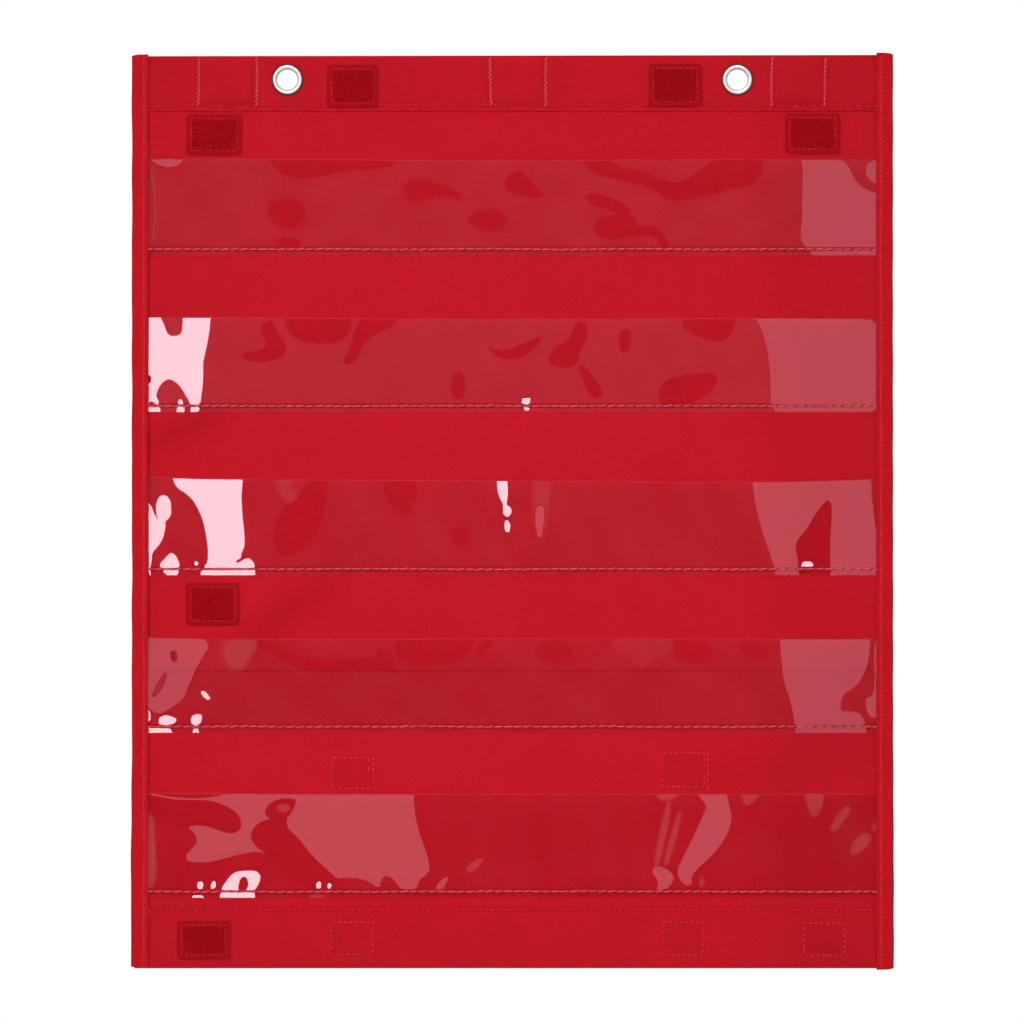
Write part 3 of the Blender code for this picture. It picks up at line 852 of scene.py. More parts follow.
def dip(off):
    """How deep a row of stitches draws the cloth in, as a share, at a distance from it."""
    return np.exp(-((off / DIP_WIDTH) ** 2))


def cloth_dip(x, z):
    """How deep the cloth is drawn in by its seams, in metres."""
    deepest = np.zeros(x.shape)
    for seam in (TOP_HEM_SEAM, BOTTOM_HEM_SEAM, *POCKET_SEAMS):
        deepest = np.maximum(deepest, dip(z - seam))
    for column in CELL_COLUMNS:
        deepest = np.maximum(deepest, dip(x - column) * (z > TOP_HEM_SEAM))
    return deepest * SEAM_DIP


def stations(low, high, step, marks=(), offsets=(-1.4 * MM, -0.6 * MM, 0.0, 0.6 * MM, 1.4 * MM)):
    """Rising places from low to high, about step apart, with extra ones round each mark."""
    count = max(int(round((high - low) / step)), 1)
    places = list(np.linspace(low, high, count + 1))
    for mark in marks:
        near = [mark + offset for offset in offsets if low < mark + offset < high]
        places = [p for p in places if all(abs(p - n) > 0.3 * step for n in near) or p in (low, high)]
        places += near
    return np.array(sorted(places))


FOLD_STEPS = 8


def fold_rows(centre_z, way):
    """The cloth's rows round the fold of a hem: way is 1 over the top and -1 round the bottom."""
    centre_y = (CLOTH_MIDDLE + HEM_MIDDLE) / 2
    rows = []
    for step in range(1, FOLD_STEPS):
        turn = math.pi * step / FOLD_STEPS
        out_y, out_z = -way * math.cos(turn), way * math.sin(turn)
        rows.append((centre_y + FOLD_RADIUS * out_y, centre_z + FOLD_RADIUS * out_z, out_y, out_z))
    return rows


def cloth_path():
    """The cloth from its top hem's edge, over the top, down the back, and up to its bottom hem's edge.

    Each row is y, z, and the outward direction's y and z.
    """
    top_fold = CLOTH_HIGH.z - FOLD_RADIUS - CLOTH_THICKNESS / 2
    bottom_fold = CLOTH_LOW.z + FOLD_RADIUS + CLOTH_THICKNESS / 2
    upper = stations(TOP_HEM_EDGE, top_fold, MM)
    back = stations(bottom_fold, TOP_HEM_EDGE, 3 * MM, (BOTTOM_HEM_SEAM, *POCKET_SEAMS))
    lower = stations(bottom_fold, BOTTOM_HEM_EDGE, 1.5 * MM)
    rows = [(HEM_MIDDLE, z, -1, 0) for z in upper]
    rows += fold_rows(top_fold, 1)
    rows += [(CLOTH_MIDDLE, z, 1, 0) for z in np.concatenate([back, upper[1:]])[::-1]]
    rows += fold_rows(bottom_fold, -1)
    rows += [(HEM_MIDDLE, z, -1, 0) for z in lower]
    return np.array(rows)


# How far the cloth's top edge slopes up to the right from its middle, and how low that middle lies
TOP_TILT = 0.3 * MM
TOP_DROP = 0.15 * MM


def woven_cloth():
    """The chart's one cloth, hemmed to the front at both ends, with the two eyelets' holes."""
    path = cloth_path()
    cells = [middle(f"hem_magnet_{side}").x for side in CELLS]
    ways = [offset * MM for offset in range(-14, 15)]
    columns = stations(CLOTH_LOW.x, CLOTH_HIGH.x, 3 * MM, cells, ways)
    x, z = np.meshgrid(columns, path[:, 1])
    y = np.repeat(path[:, :1], len(columns), axis=1)
    facing = path[:, 2:3]
    front_swell = (HEM_FRONT - CLOTH_LOW.y) * 0.8
    back_swell = CLOTH_HIGH.y - CLOTH_BACK
    swell = cell_swell(x, z) * np.where(facing < 0, front_swell, back_swell) * facing
    drawn_in = cloth_dip(x, z) * -facing
    high = ease((z - TOP_HEM_SEAM) / (CLOTH_HIGH.z - TOP_HEM_SEAM))
    z = z + high * (TOP_TILT * x / CLOTH_HIGH.x - TOP_DROP)
    surface = np.stack([x, y + swell + drawn_in - hang(x, z), z], -1)
    outward = np.stack([np.zeros_like(x), np.broadcast_to(facing, x.shape),
                        np.broadcast_to(path[:, 3:4], x.shape)], -1)
    piece = shell("woven_cloth", surface, outward, CLOTH_THICKNESS, [CLOTH])
    for side in SIDES:
        cut_hole(piece, middle(f"eyelet_{side}"))
    rounded(piece.data)
    finish_piece(piece, "cloth", "chart_cloth")
    return piece


def cut_hole(piece, centre):
    """Cuts an eyelet's round hole through the piece, front to back."""
    bpy.ops.mesh.primitive_cylinder_add(
        vertices=48, radius=HOLE_RADIUS, depth=20 * MM, location=centre,
        rotation=(math.pi / 2, 0, 0),
    )
    cutter = bpy.context.object
    cut = piece.modifiers.new("hole", "BOOLEAN")
    cut.operation = "DIFFERENCE"
    cut.solver = "EXACT"
    cut.object = cutter
    settle(piece)
    bpy.data.objects.remove(cutter)


# Side tapes

# How far each tape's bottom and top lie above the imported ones
TAPE_ENDS = {"left": (0.9 * MM, -0.4 * MM), "right": (0.1 * MM, 0.4 * MM)}

# How much the fold's ends are rounded off, and how far the tape's edges wander
END_ROUNDING = 0.9 * MM
TAPE_WOBBLE = 0.12 * MM

# Towards the bottom the tapes stand a little further out, from the flare's start and over its length
FLARE = 0.4 * MM
FLARE_START = 80 * MM
FLARE_LENGTH = 100 * MM

# The parts that a tape's flat leg and its fold are made in
LEG_STEPS = 8
TAPE_FOLD_STEPS = 12


def side_tape(side):
    """A woven tape folded round one edge of the cloth and over the films' ends."""
    way = -1 if side == "left" else 1
    low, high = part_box(f"side_tape_{side}")
    bottom, top = low.z + TAPE_ENDS[side][0], high.z + TAPE_ENDS[side][1]
    inner = min(abs(low.x), abs(high.x))
    outer = max(abs(low.x), abs(high.x))
    radius = (high.y - low.y) / 2
    arc_x = outer - radius
    arc_y = (low.y + high.y) / 2
    run = radius - TAPE_THICKNESS / 2
    leg = np.linspace(inner, arc_x, LEG_STEPS + 1)
    profile = [(x, arc_y - run, 0, -1) for x in leg]
    for step in range(1, TAPE_FOLD_STEPS):
        turn = math.pi * step / TAPE_FOLD_STEPS
        out_x, out_y = math.sin(turn), -math.cos(turn)
        profile.append((arc_x + run * out_x, arc_y + run * out_y, out_x, out_y))
    profile += [(x, arc_y + run, 0, 1) for x in leg[::-1]]
    profile = np.array(profile)
    heights = stations(bottom, top, 1.5 * MM)
    z = heights[:, None] + np.zeros(len(profile))
    middle_z = (bottom + top) / 2
    rounding = END_ROUNDING * ((profile[:, 0] - inner) / (outer - inner)) ** 5
    z = middle_z + (z - middle_z) * (1 - rounding / (top - middle_z))
    lengths = (90 * MM, 37 * MM, 17 * MM)
    wobble = TAPE_WOBBLE * ripple(np.zeros(len(heights)), heights, lengths, 3 + way)
    flare = FLARE * ease((middle_z - FLARE_START - heights) / FLARE_LENGTH)
    x = profile[:, 0] + (wobble + flare)[:, None] * (profile[:, 0] > inner + MM)
    x = np.where(profile[:, 0] == inner, inner + wobble[:, None] * 0.5, x)
    y = profile[:, 1] - hang(way * x, z)
    surface = np.stack([way * x, y, z], -1)
    outward = np.stack([way * profile[:, 2] + np.zeros_like(x), profile[:, 3] + np.zeros_like(x),
                        np.zeros_like(x)], -1)
    piece = shell(f"edge_tape_{side}", surface, outward, TAPE_THICKNESS, [TAPE])
    rounded(piece.data)
    finish_piece(piece, "tape", f"side_tape_{side}")
    return piece


# Clear films

# What a film mirrors, by where it lies in degrees to the right and up, as seen from the film.
# The lamps' near edges are 8 degrees from straight ahead, so a stretch that leans to 16 starts to
# mirror a lamp half way through its soft border.
LAMP_EDGE = 8
LAMPS_UP = 5.5
WINDOW = (-2 * LAMP_EDGE, LAMPS_UP)
FILL = (2 * LAMP_EDGE, LAMPS_UP)
DARK = (0, 14)
VEIL = (0, 1)
HAZE = (0, -12)
PALE = (0, 3.5)

# How far a lamp's glare stays inside its stretch, and how wide the borders of the stretches are
GLARE_INSETS = {WINDOW: 0.45 * MM, FILL: 0.3 * MM}
HARD = 1.4 * MM
SOFT = 3 * MM
FAINT = 6 * MM

# How high up each film looks outside its stretches, in degrees
FILM_ELEVATIONS = (4.7, 2.8, 6.4, 6.8, 8.8)

# The stretches of each film that lean their own way: what each mirrors, its border, and its outline in
# the photograph's pixels. A later stretch lies over an earlier one.
FILM_STRETCHES = {
    1: {
        "top left": (FILL, HARD, [
            (149, 148), (192, 148), (184, 163), (177, 168), (168, 170), (158, 167), (151, 163)]),
        "left edge": (HAZE, SOFT, [
            (147, 168), (156, 170), (158, 200), (158, 225), (154, 246), (149, 246), (153, 220),
            (153, 195)]),
        "right": (FILL, HARD, [
            (799, 148), (838, 148), (840, 160), (848, 166), (852, 176), (858, 185), (868, 191),
            (888, 197), (888, 268), (818, 268), (812, 254), (799, 240), (802, 220), (801, 200),
            (803, 175)]),
        "right corner": (FILL, HARD, [(864, 170), (870, 160), (888, 158), (888, 186), (870, 182)]),
        "upper left hollow": (DARK, HARD, [
            (264, 148), (274, 167), (290, 177), (310, 179), (325, 176), (345, 170), (395, 168),
            (402, 148)]),
        "low left hollow": (DARK, FAINT, [
            (270, 204), (288, 201), (305, 205), (302, 223), (294, 228), (281, 227), (272, 219)]),
        "small hollow": (DARK, FAINT, [
            (405, 184), (421, 181), (435, 185), (450, 189), (464, 199), (445, 194), (431, 196),
            (420, 200), (408, 198)]),
        "middle hollow": (DARK, HARD, [
            (505, 182), (512, 173), (521, 170), (529, 181), (537, 189), (545, 196), (531, 197),
            (517, 195), (507, 190)]),
        "left of middle": (DARK, FAINT, [
            (469, 219), (480, 212), (497, 211), (505, 219), (501, 228), (487, 230), (474, 226)]),
        "right of middle": (DARK, HARD, [
            (584, 196), (595, 194), (607, 197), (620, 203), (632, 212), (622, 214), (606, 209),
            (590, 203)]),
        "low middle": (DARK, HARD, [
            (594, 226), (601, 218), (616, 215), (632, 215), (637, 224), (632, 234), (620, 239),
            (604, 239), (595, 233)]),
        "upper right crease": (DARK, HARD, [
            (578, 154), (600, 154), (615, 166), (632, 170), (646, 173), (658, 179), (671, 184),
            (685, 182), (699, 171), (714, 162), (728, 150), (764, 150), (761, 172), (755, 185),
            (731, 188), (716, 194), (699, 197), (683, 201), (668, 200), (655, 190), (643, 185),
            (625, 181), (606, 177), (588, 169)]),
        "fine crease": (DARK, HARD, [
            (632, 228), (650, 226), (660, 231), (666, 240), (669, 248), (662, 246), (655, 236),
            (645, 235), (632, 237)]),
        "faint low spot": (DARK, HARD, [
            (278, 241), (289, 238), (301, 240), (298, 248), (281, 248)]),
    },
    2: {
        "left": (WINDOW, HARD, [
            (138, 304), (212, 304), (212, 318), (209, 342), (204, 362), (204, 388), (197, 426),
            (138, 426)]),
        "left nick": (VEIL, HARD, [
            (157, 304), (160, 318), (164, 326), (168, 337), (177, 338), (184, 334), (184, 304)]),
        "left hump": (VEIL, HARD, [
            (155, 396), (161, 383), (170, 378), (180, 384), (187, 396), (192, 405), (190, 426),
            (161, 426), (159, 401)]),
        "hump's spot": (WINDOW, HARD, [(176, 426), (177, 402), (181, 398), (185, 403), (187, 426)]),
        "edge notch": (DARK, HARD, [(144, 375), (151, 375), (153, 380), (150, 385), (144, 385)]),
        "seam nick": (DARK, HARD, [(149, 401), (154, 401), (156, 406), (149, 408)]),
        "right": (FILL, HARD, [
            (750, 304), (754, 318), (760, 327), (766, 345), (770, 372), (771, 426), (888, 426),
            (888, 304)]),
        "seam spot": (WINDOW, HARD, [(519, 397), (533, 397), (530, 404), (531, 412), (523, 412)]),
        "hollow a": (DARK, HARD, [
            (260, 330), (271, 319), (276, 330), (290, 352), (275, 360), (255, 363), (237, 355),
            (268, 350), (266, 338)]),
        "hollow b": (DARK, SOFT, [
            (284, 306), (352, 306), (351, 330), (342, 341), (320, 344), (299, 340), (288, 331)]),
        "hollow b's fold": (DARK, HARD, [
            (366, 314), (400, 308), (396, 324), (381, 331), (368, 338), (360, 350), (355, 364),
            (341, 363), (350, 352), (354, 338), (358, 326)]),
        "hollow c": (DARK, HARD, [
            (485, 345), (500, 351), (511, 349), (524, 343), (543, 335), (536, 347), (522, 357),
            (508, 359), (497, 356)]),
        "hollow d": (DARK, HARD, [
            (546, 361), (556, 345), (569, 341), (575, 323), (585, 320), (588, 338), (579, 350),
            (577, 366), (558, 367)]),
        "hollow e": (DARK, HARD, [(578, 362), (592, 376), (605, 396), (592, 398), (583, 380)]),
        "hollow f": (DARK, HARD, [(618, 329), (631, 329), (630, 349), (621, 355)]),
        "hollow g": (DARK, HARD, [
            (680, 321), (700, 316), (738, 314), (729, 339), (715, 342), (688, 332)]),
        "hollow h": (DARK, HARD, [
            (658, 384), (680, 376), (700, 373), (717, 374), (715, 385), (706, 395), (692, 402),
            (680, 408), (660, 408)]),
        "hollow i": (DARK, SOFT, [(451, 385), (458, 368), (465, 380), (465, 396), (455, 400)]),
    },
    3: {
        "left": (WINDOW, HARD, [
            (172, 466), (245, 466), (244, 480), (242, 500), (245, 530), (246, 548), (240, 556),
            (251, 558), (257, 566), (255, 588), (201, 588), (200, 570), (208, 563), (208, 550),
            (206, 532), (200, 512), (190, 497), (174, 489)]),
        "left blob": (WINDOW, HARD, [
            (160, 497), (168, 497), (172, 505), (172, 516), (168, 523), (160, 523), (156, 515),
            (156, 505)]),
        "left edge": (WINDOW, HARD, [
            (138, 502), (151, 505), (155, 517), (161, 523), (167, 523), (164, 540), (157, 549),
            (152, 554), (151, 588), (138, 588)]),
        "low left": (WINDOW, HARD, [
            (158, 566), (165, 558), (173, 551), (180, 562), (180, 573), (175, 577), (168, 577)]),
        "left sheen": (HAZE, HARD, [
            (274, 466), (290, 466), (292, 484), (299, 496), (297, 504), (288, 503), (279, 494),
            (275, 482)]),
        "middle streak": (WINDOW, HARD, [
            (496, 466), (508, 466), (509, 500), (505, 510), (496, 493)]),
        "upper bead": (WINDOW, HARD, [(501, 506), (507, 503), (513, 508), (511, 518), (503, 517)]),
        "lower bead": (WINDOW, HARD, [(503, 520), (508, 518), (512, 524), (510, 534), (504, 532)]),
        "pale streak": (HAZE, HARD, [
            (532, 466), (552, 466), (550, 500), (544, 539), (536, 532), (533, 512)]),
        "pale tip": (FILL, HARD, [(533, 505), (546, 503), (545, 520), (542, 539), (536, 536)]),
        "right": (FILL, HARD, [
            (748, 466), (870, 466), (871, 495), (874, 520), (878, 545), (888, 560), (888, 588),
            (778, 588), (771, 556), (762, 532), (755, 505), (752, 482)]),
        "window's nick": (DARK, HARD, [(233, 563), (245, 555), (249, 557), (238, 564)]),
        "low dot": (WINDOW, HARD, [(194, 561), (199, 561), (199, 566), (194, 566)]),
        "thumb mark": (DARK, HARD, [
            (831, 498), (822, 502), (813, 515), (805, 530), (793, 543), (797, 558), (799, 588),
            (832, 588), (830, 545), (832, 515)]),
        "seam spot": (WINDOW, HARD, [(799, 560), (815, 560), (814, 572), (800, 572)]),
        "hollow a": (DARK, SOFT, [
            (383, 484), (416, 480), (415, 500), (407, 516), (396, 510), (388, 497)]),
        "hollow b": (DARK, SOFT, [(452, 528), (467, 530), (468, 545), (455, 546)]),
        "left lens": (DARK, HARD, [
            (284, 508), (297, 500), (306, 488), (312, 478), (328, 478), (326, 500), (322, 520),
            (312, 540), (300, 552), (284, 558), (275, 545), (275, 528)]),
    },
    4: {
        "left": (FILL, HARD, [
            (138, 626), (204, 626), (207, 640), (212, 646), (205, 656), (197, 670), (191, 684),
            (186, 697), (180, 704), (170, 710), (157, 717), (138, 700)]),
        "left nick": (DARK, HARD, [(170, 652), (176, 651), (178, 660), (173, 663)]),
        "left slit": (VEIL, HARD, [
            (151, 698), (158, 684), (167, 670), (166, 682), (158, 695)]),
        "left blob": (HAZE, SOFT, [
            (225, 638), (257, 637), (259, 645), (253, 653), (248, 663), (240, 670), (231, 669),
            (224, 660), (222, 649)]),
        "left edge": (WINDOW, HARD, [(138, 705), (150, 707), (152, 723), (138, 724)]),
        "dash": (WINDOW, HARD, [(199, 691), (204, 689), (212, 698), (208, 702)]),
        "low spot's foot": (WINDOW, HARD, [(192, 728), (200, 728), (199, 738), (193, 738)]),
        "low left spot": (WINDOW, HARD, [
            (158, 717), (168, 714), (180, 720), (170, 726), (159, 726)]),
        "low left edge": (WINDOW, HARD, [
            (138, 728), (160, 727), (173, 727), (173, 744), (138, 744)]),
        "low spot": (WINDOW, HARD, [(191, 714), (203, 713), (202, 723), (197, 727), (191, 725)]),
        "hollow a": (DARK, SOFT, [
            (396, 640), (408, 632), (476, 632), (472, 649), (460, 660), (437, 664), (415, 663),
            (399, 657)]),
        "hollow a's tail": (DARK, HARD, [
            (476, 655), (480, 643), (494, 639), (488, 648), (481, 656)]),
        "hollow b": (DARK, HARD, [
            (258, 637), (270, 643), (284, 649), (300, 658), (322, 660), (352, 660), (380, 657),
            (378, 646), (390, 656), (399, 674), (388, 670), (352, 668), (322, 669), (300, 668),
            (283, 659), (268, 650), (258, 647)]),
        "hollow c": (DARK, SOFT, [(533, 652), (550, 640), (572, 647), (570, 660), (550, 662)]),
        "pale wedge": (PALE, HARD, [
            (612, 630), (673, 630), (673, 652), (655, 658), (640, 670), (630, 658), (612, 648)]),
        "hollow d": (DARK, HARD, [
            (672, 634), (700, 636), (713, 652), (709, 664), (690, 663), (673, 656)]),
        "hollow e": (DARK, SOFT, [(736, 643), (760, 648), (768, 657), (748, 656)]),
        "right": (FILL, HARD, [
            (778, 626), (870, 626), (870, 640), (869, 655), (866, 668), (860, 680), (853, 688),
            (845, 692), (840, 700), (840, 712), (850, 711), (860, 713), (865, 722), (867, 746),
            (796, 746), (794, 720), (790, 700), (784, 685), (781, 665)]),
        "right edge": (FILL, HARD, [
            (873, 638), (888, 638), (888, 716), (870, 719), (865, 705), (865, 697), (872, 697),
            (875, 680)]),
    },
    5: {
        "left edge": (HAZE, HARD, [
            (138, 808), (153, 811), (155, 835), (156, 855), (157, 886), (138, 891)]),
        "great stretch": (FILL, HARD, [
            (140, 782), (414, 782), (416, 815), (421, 835), (427, 850), (432, 872), (420, 879),
            (417, 891), (400, 891), (395, 881), (388, 876), (382, 878), (381, 889), (372, 885),
            (365, 880), (350, 878), (336, 879), (300, 890), (283, 873), (271, 860), (261, 853),
            (251, 853), (231, 858), (210, 864), (188, 863), (184, 858), (188, 851), (197, 843),
            (194, 834), (185, 828), (170, 815), (150, 800)]),
        "left tongue": (DARK, HARD, [
            (138, 798), (152, 797), (166, 800), (180, 802), (210, 802), (221, 805), (235, 812),
            (241, 820), (242, 828), (236, 833), (229, 834), (210, 827), (196, 825), (185, 829),
            (175, 827), (150, 815), (138, 815)]),
        "mouth shade": (DARK, HARD, [
            (138, 782), (245, 782), (225, 796), (205, 799), (185, 799), (165, 797), (148, 793)]),
        "slanting band": (DARK, HARD, [
            (298, 801), (288, 799), (276, 801), (266, 808), (266, 816), (272, 820), (262, 822),
            (253, 829), (251, 838), (257, 847), (266, 853), (275, 863), (284, 873), (297, 889),
            (339, 880), (330, 872), (316, 860), (306, 848), (297, 837), (288, 829), (286, 821),
            (292, 813)]),
        "lens": (HAZE, HARD, [
            (276, 808), (281, 805), (288, 805), (292, 809), (288, 813), (280, 813)]),
        "low left": (WINDOW, HARD, [
            (220, 890), (227, 879), (234, 872), (243, 870), (258, 870), (262, 878), (258, 886),
            (255, 891), (257, 908), (220, 908)]),
        "low left eye": (DARK, HARD, [
            (239, 881), (243, 875), (248, 877), (250, 889), (237, 890)]),
        "low spot a": (WINDOW, HARD, [(197, 881), (204, 881), (204, 889), (197, 889)]),
        "low spot b": (WINDOW, HARD, [(212, 880), (217, 881), (216, 889), (210, 889)]),
        "low spot c": (WINDOW, HARD, [(316, 881), (322, 881), (322, 889), (316, 889)]),
        "low spot d": (WINDOW, HARD, [(327, 882), (332, 882), (332, 889), (327, 889)]),
        "low foot a": (WINDOW, HARD, [(191, 894), (205, 894), (204, 904), (192, 904)]),
        "low foot b": (HAZE, HARD, [(309, 894), (325, 894), (324, 904), (310, 904)]),
        "fleck a": (FILL, HARD, [(433, 891), (440, 879), (450, 874), (447, 884), (438, 895)]),
        "fleck b": (HAZE, HARD, [(465, 868), (475, 860), (485, 857), (479, 867), (470, 873)]),
        "top fleck": (HAZE, HARD, [(654, 782), (680, 782), (679, 795), (668, 802), (657, 801)]),
        "main streak": (FILL, HARD, [
            (693, 782), (697, 797), (707, 806), (701, 818), (692, 838), (684, 854), (676, 870),
            (679, 880), (686, 886), (693, 884), (691, 877), (697, 869), (706, 861), (718, 849),
            (728, 833), (732, 818), (728, 804), (724, 782)]),
        "fine streak a": (HAZE, HARD, [(666, 802), (672, 803), (659, 868), (652, 867)]),
        "fine streak b": (HAZE, HARD, [(677, 812), (682, 813), (668, 866), (662, 865)]),
        "wedge": (HAZE, HARD, [(737, 788), (763, 788), (758, 798), (747, 807), (743, 805)]),
        "low drop": (HAZE, HARD, [(700, 876), (704, 879), (703, 887), (699, 885)]),
        "low streak": (FILL, HARD, [
            (654, 866), (664, 866), (675, 876), (672, 884), (664, 891), (654, 893), (659, 882),
            (651, 873)]),
        "right fleck a": (HAZE, HARD, [
            (801, 782), (825, 782), (822, 805), (817, 817), (811, 817), (806, 805)]),
        "right fleck b": (HAZE, HARD, [
            (829, 831), (834, 819), (842, 810), (849, 806), (850, 813), (843, 821), (836, 832)]),
        "right fleck c": (HAZE, HARD, [
            (849, 853), (853, 842), (860, 835), (869, 833), (871, 841), (864, 849), (856, 855)]),
        "right fleck d": (HAZE, HARD, [(871, 826), (876, 824), (878, 829), (873, 832)]),
    },
}


def cut_corners(points, rounds=2):
    """A closed outline with its corners cut, more finely each round, until it is smooth."""
    for _ in range(rounds):
        following = np.roll(points, -1, axis=0)
        points = np.stack([points * 0.75 + following * 0.25, points * 0.25 + following * 0.75], 1)
        points = points.reshape(-1, 2)
    return points


def depth_inside(x, z, outline):
    """How far inside a closed outline each place is, in metres. Outside, it is less than 0."""
    nearest = np.full(x.shape, np.inf)
    inside = np.zeros(x.shape, bool)
    for (ax, az), (bx, bz) in zip(outline, np.roll(outline, -1, axis=0)):
        side_x, side_z = bx - ax, bz - az
        share = ((x - ax) * side_x + (z - az) * side_z) / (side_x ** 2 + side_z ** 2)
        share = np.clip(share, 0, 1)
        nearest = np.minimum(nearest, np.hypot(x - ax - share * side_x, z - az - share * side_z))
        if az != bz:
            crosses = (az > z) != (bz > z)
            inside ^= crosses & (x < ax + (z - az) / (bz - az) * side_x)
    return np.where(inside, nearest, -nearest)


def film_mirrors(number, x, z):
    """Where the light that each place on the film mirrors comes from, in degrees right and up."""
    right = 0.6 * ripple(x, z, (61 * MM, 37 * MM, 23 * MM), 20 + number)
    up = FILM_ELEVATIONS[number - 1] + 0.6 * ripple(x, z, (53 * MM, 31 * MM, 19 * MM), 40 + number)
    for towards, border, pixels in FILM_STRETCHES[number].values():
        outline = cut_corners(np.array([photo_place(*pixel) for pixel in pixels]))
        inset = GLARE_INSETS.get(towards, 0)
        share = ease((depth_inside(x, z, outline) - inset) / border + 0.5)
        to_right, to_up = towards
        right = right + (to_right - right) * share
        up = up + (to_up - up) * share
    by_seam = dip(z - POCKET_SEAMS[number - 1])
    return right * (1 - by_seam), up + (DARK[1] - up) * by_seam


def film_leans(number, x, z):
    """The film's lean at each place, in radians to the right and up."""
    right, up = film_mirrors(number, x, z)
    sight_right = np.arctan2(VIEW_CENTRE.x - x, VIEW_DISTANCE)
    sight_up = np.arctan2(VIEW_CENTRE.z - z, VIEW_DISTANCE)
    return (np.radians(right) + sight_right) / 2, (np.radians(up) + sight_up) / 2


def relief(slope_across, slope_up, step_across, step_up):
    """The heights whose slopes come closest to these, found by frequency on a mirrored sheet."""
    across = np.block([[slope_across, -slope_across[:, ::-1]],
                       [slope_across[::-1], -slope_across[::-1, ::-1]]])
    upward = np.block([[slope_up, slope_up[:, ::-1]], [-slope_up[::-1], -slope_up[::-1, ::-1]]])
    rows, columns = across.shape
    wave_across = 2j * math.pi * np.fft.fftfreq(columns, step_across)[None, :]
    wave_up = 2j * math.pi * np.fft.fftfreq(rows, step_up)[:, None]
    power = np.abs(wave_across) ** 2 + np.abs(wave_up) ** 2
    power[0, 0] = 1
    wanted = np.fft.fft2(across) * np.conj(wave_across) + np.fft.fft2(upward) * np.conj(wave_up)
    heights = np.fft.ifft2(wanted / power).real
    heights -= heights.mean()
    return heights[:rows // 2, :columns // 2]


FILM_GRID = 0.8 * MM
FILM_EDGE_WIDTH = 0.35 * MM
FILM_GAPE = 8 * MM
FILM_THICKNESS = 0.3 * MM

# How much of the height that its leans ask for a film has, so that it stays inside its pocket's depth
WAVE_SHARE = 0.6

# How far each film's mouth droops, in the photograph's pixels, at five places across the chart
MOUTH_PLACES = (150, 325, 512, 700, 875)
MOUTH_DROPS = (
    (-0.4, 0.8, 1.4, 0.8, 0.3),
    (-1.0, 0.5, 1.2, 0.6, 0.9),
    (-3.2, -0.4, 0.5, 1.9, -1.6),
    (-1.3, 0.3, -0.6, -0.4, 0.0),
    (-1.9, -1.7, -1.8, -1.9, -1.5),
)


def mouth_drop(number, x):
    """How far down the film's mouth lies at each x, in metres: a smooth curve through the five places."""
    places = [photo_column(pixel) / TAPE_LOW.x for pixel in MOUTH_PLACES]
    drops = np.array(MOUTH_DROPS[number - 1]) * VIEW_WIDTH / FRAME_PIXELS
    return np.polyval(np.polyfit(places, drops, len(places) - 1), x / TAPE_LOW.x)


def clear_film(number):
    """One pocket's film. It is sewn down below, held under the tapes, and stands forward at its mouth."""
    low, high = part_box(f"pocket_film_{number}")
    seam = POCKET_SEAMS[number - 1]
    across = np.linspace(low.x, high.x, int((high.x - low.x) / FILM_GRID) + 1)
    below = np.linspace(low.z, seam, 5)
    above = np.linspace(seam, high.z - FILM_EDGE_WIDTH, int((high.z - seam) / FILM_GRID) + 1)
    up = np.concatenate([below[:-1], above, [high.z]])
    x, z = np.meshgrid(across, up)
    lean_right, lean_up = film_leans(number, x, z)
    rise = np.clip((z - seam) / (high.z - seam), 0, 1)
    swing = 1 - (1 - rise) ** 2
    span = np.abs(x) / TAPE_LOW.x
    hold = np.clip(1 - span ** 4, 0, 1) * swing
    waves = relief(np.tan(lean_right), np.tan(lean_up), FILM_GRID, FILM_GRID)
    forward = hold * np.clip(FILM_GAPE + waves * WAVE_SHARE, 0, None) - dip(z - seam) * SEAM_DIP
    y = high.y - FILM_THICKNESS / 2 - forward - hang(x, z)
    z = z - mouth_drop(number, x) * rise
    surface = np.stack([x, y, z], -1)
    outward = np.broadcast_to(FORWARD, surface.shape)
    piece = shell(f"clear_film_{number}", surface, outward, FILM_THICKNESS, [FILM, CUT_EDGE])
    shade_by_lean(piece.data, lean_right, lean_up)
    finish_piece(piece, "film", f"pocket_film_{number}")
    return piece


def shade_by_lean(mesh, lean_right, lean_up):
    """Gives the film's two faces the normals of its leans, and its cut edges their own finish.

    The mesh has the front's cells first, then the back's, each with four corners, and then the walls.
    """
    front = np.stack([np.tan(lean_right), -np.ones_like(lean_right), np.tan(lean_up)], -1)
    front /= np.linalg.norm(front, axis=-1, keepdims=True)
    by_point = np.concatenate([front.reshape(-1, 3), -front.reshape(-1, 3)])
    rows, columns = lean_right.shape
    cells = (rows - 1) * (columns - 1)
    corners = np.empty(len(mesh.loops), int)
    mesh.loops.foreach_get("vertex_index", corners)
    normals = by_point[corners]
    flat = np.empty(len(mesh.polygons) * 3)
    mesh.polygons.foreach_get("normal", flat)
    first_wall = 2 * cells
    walls = flat.reshape(-1, 3)[first_wall:]
    normals[4 * first_wall:] = np.repeat(walls, 4, axis=0)
    mesh.shade_smooth()
    mesh.normals_split_custom_set(normals)
    finish = np.zeros(len(mesh.polygons), int)
    finish[first_wall:] = 1
    finish[cells - (columns - 1):cells] = 1
    mesh.polygons.foreach_set("material_index", finish)


# Eyelets and magnets


def half_ellipse(centre, base, half_width, height):
    """Points over a half ellipse, from its outer side to its inner one, as radius and y."""
    turns = np.linspace(0, math.pi, 13)
    return [(centre + half_width * math.cos(t), base - height * math.sin(t)) for t in turns]


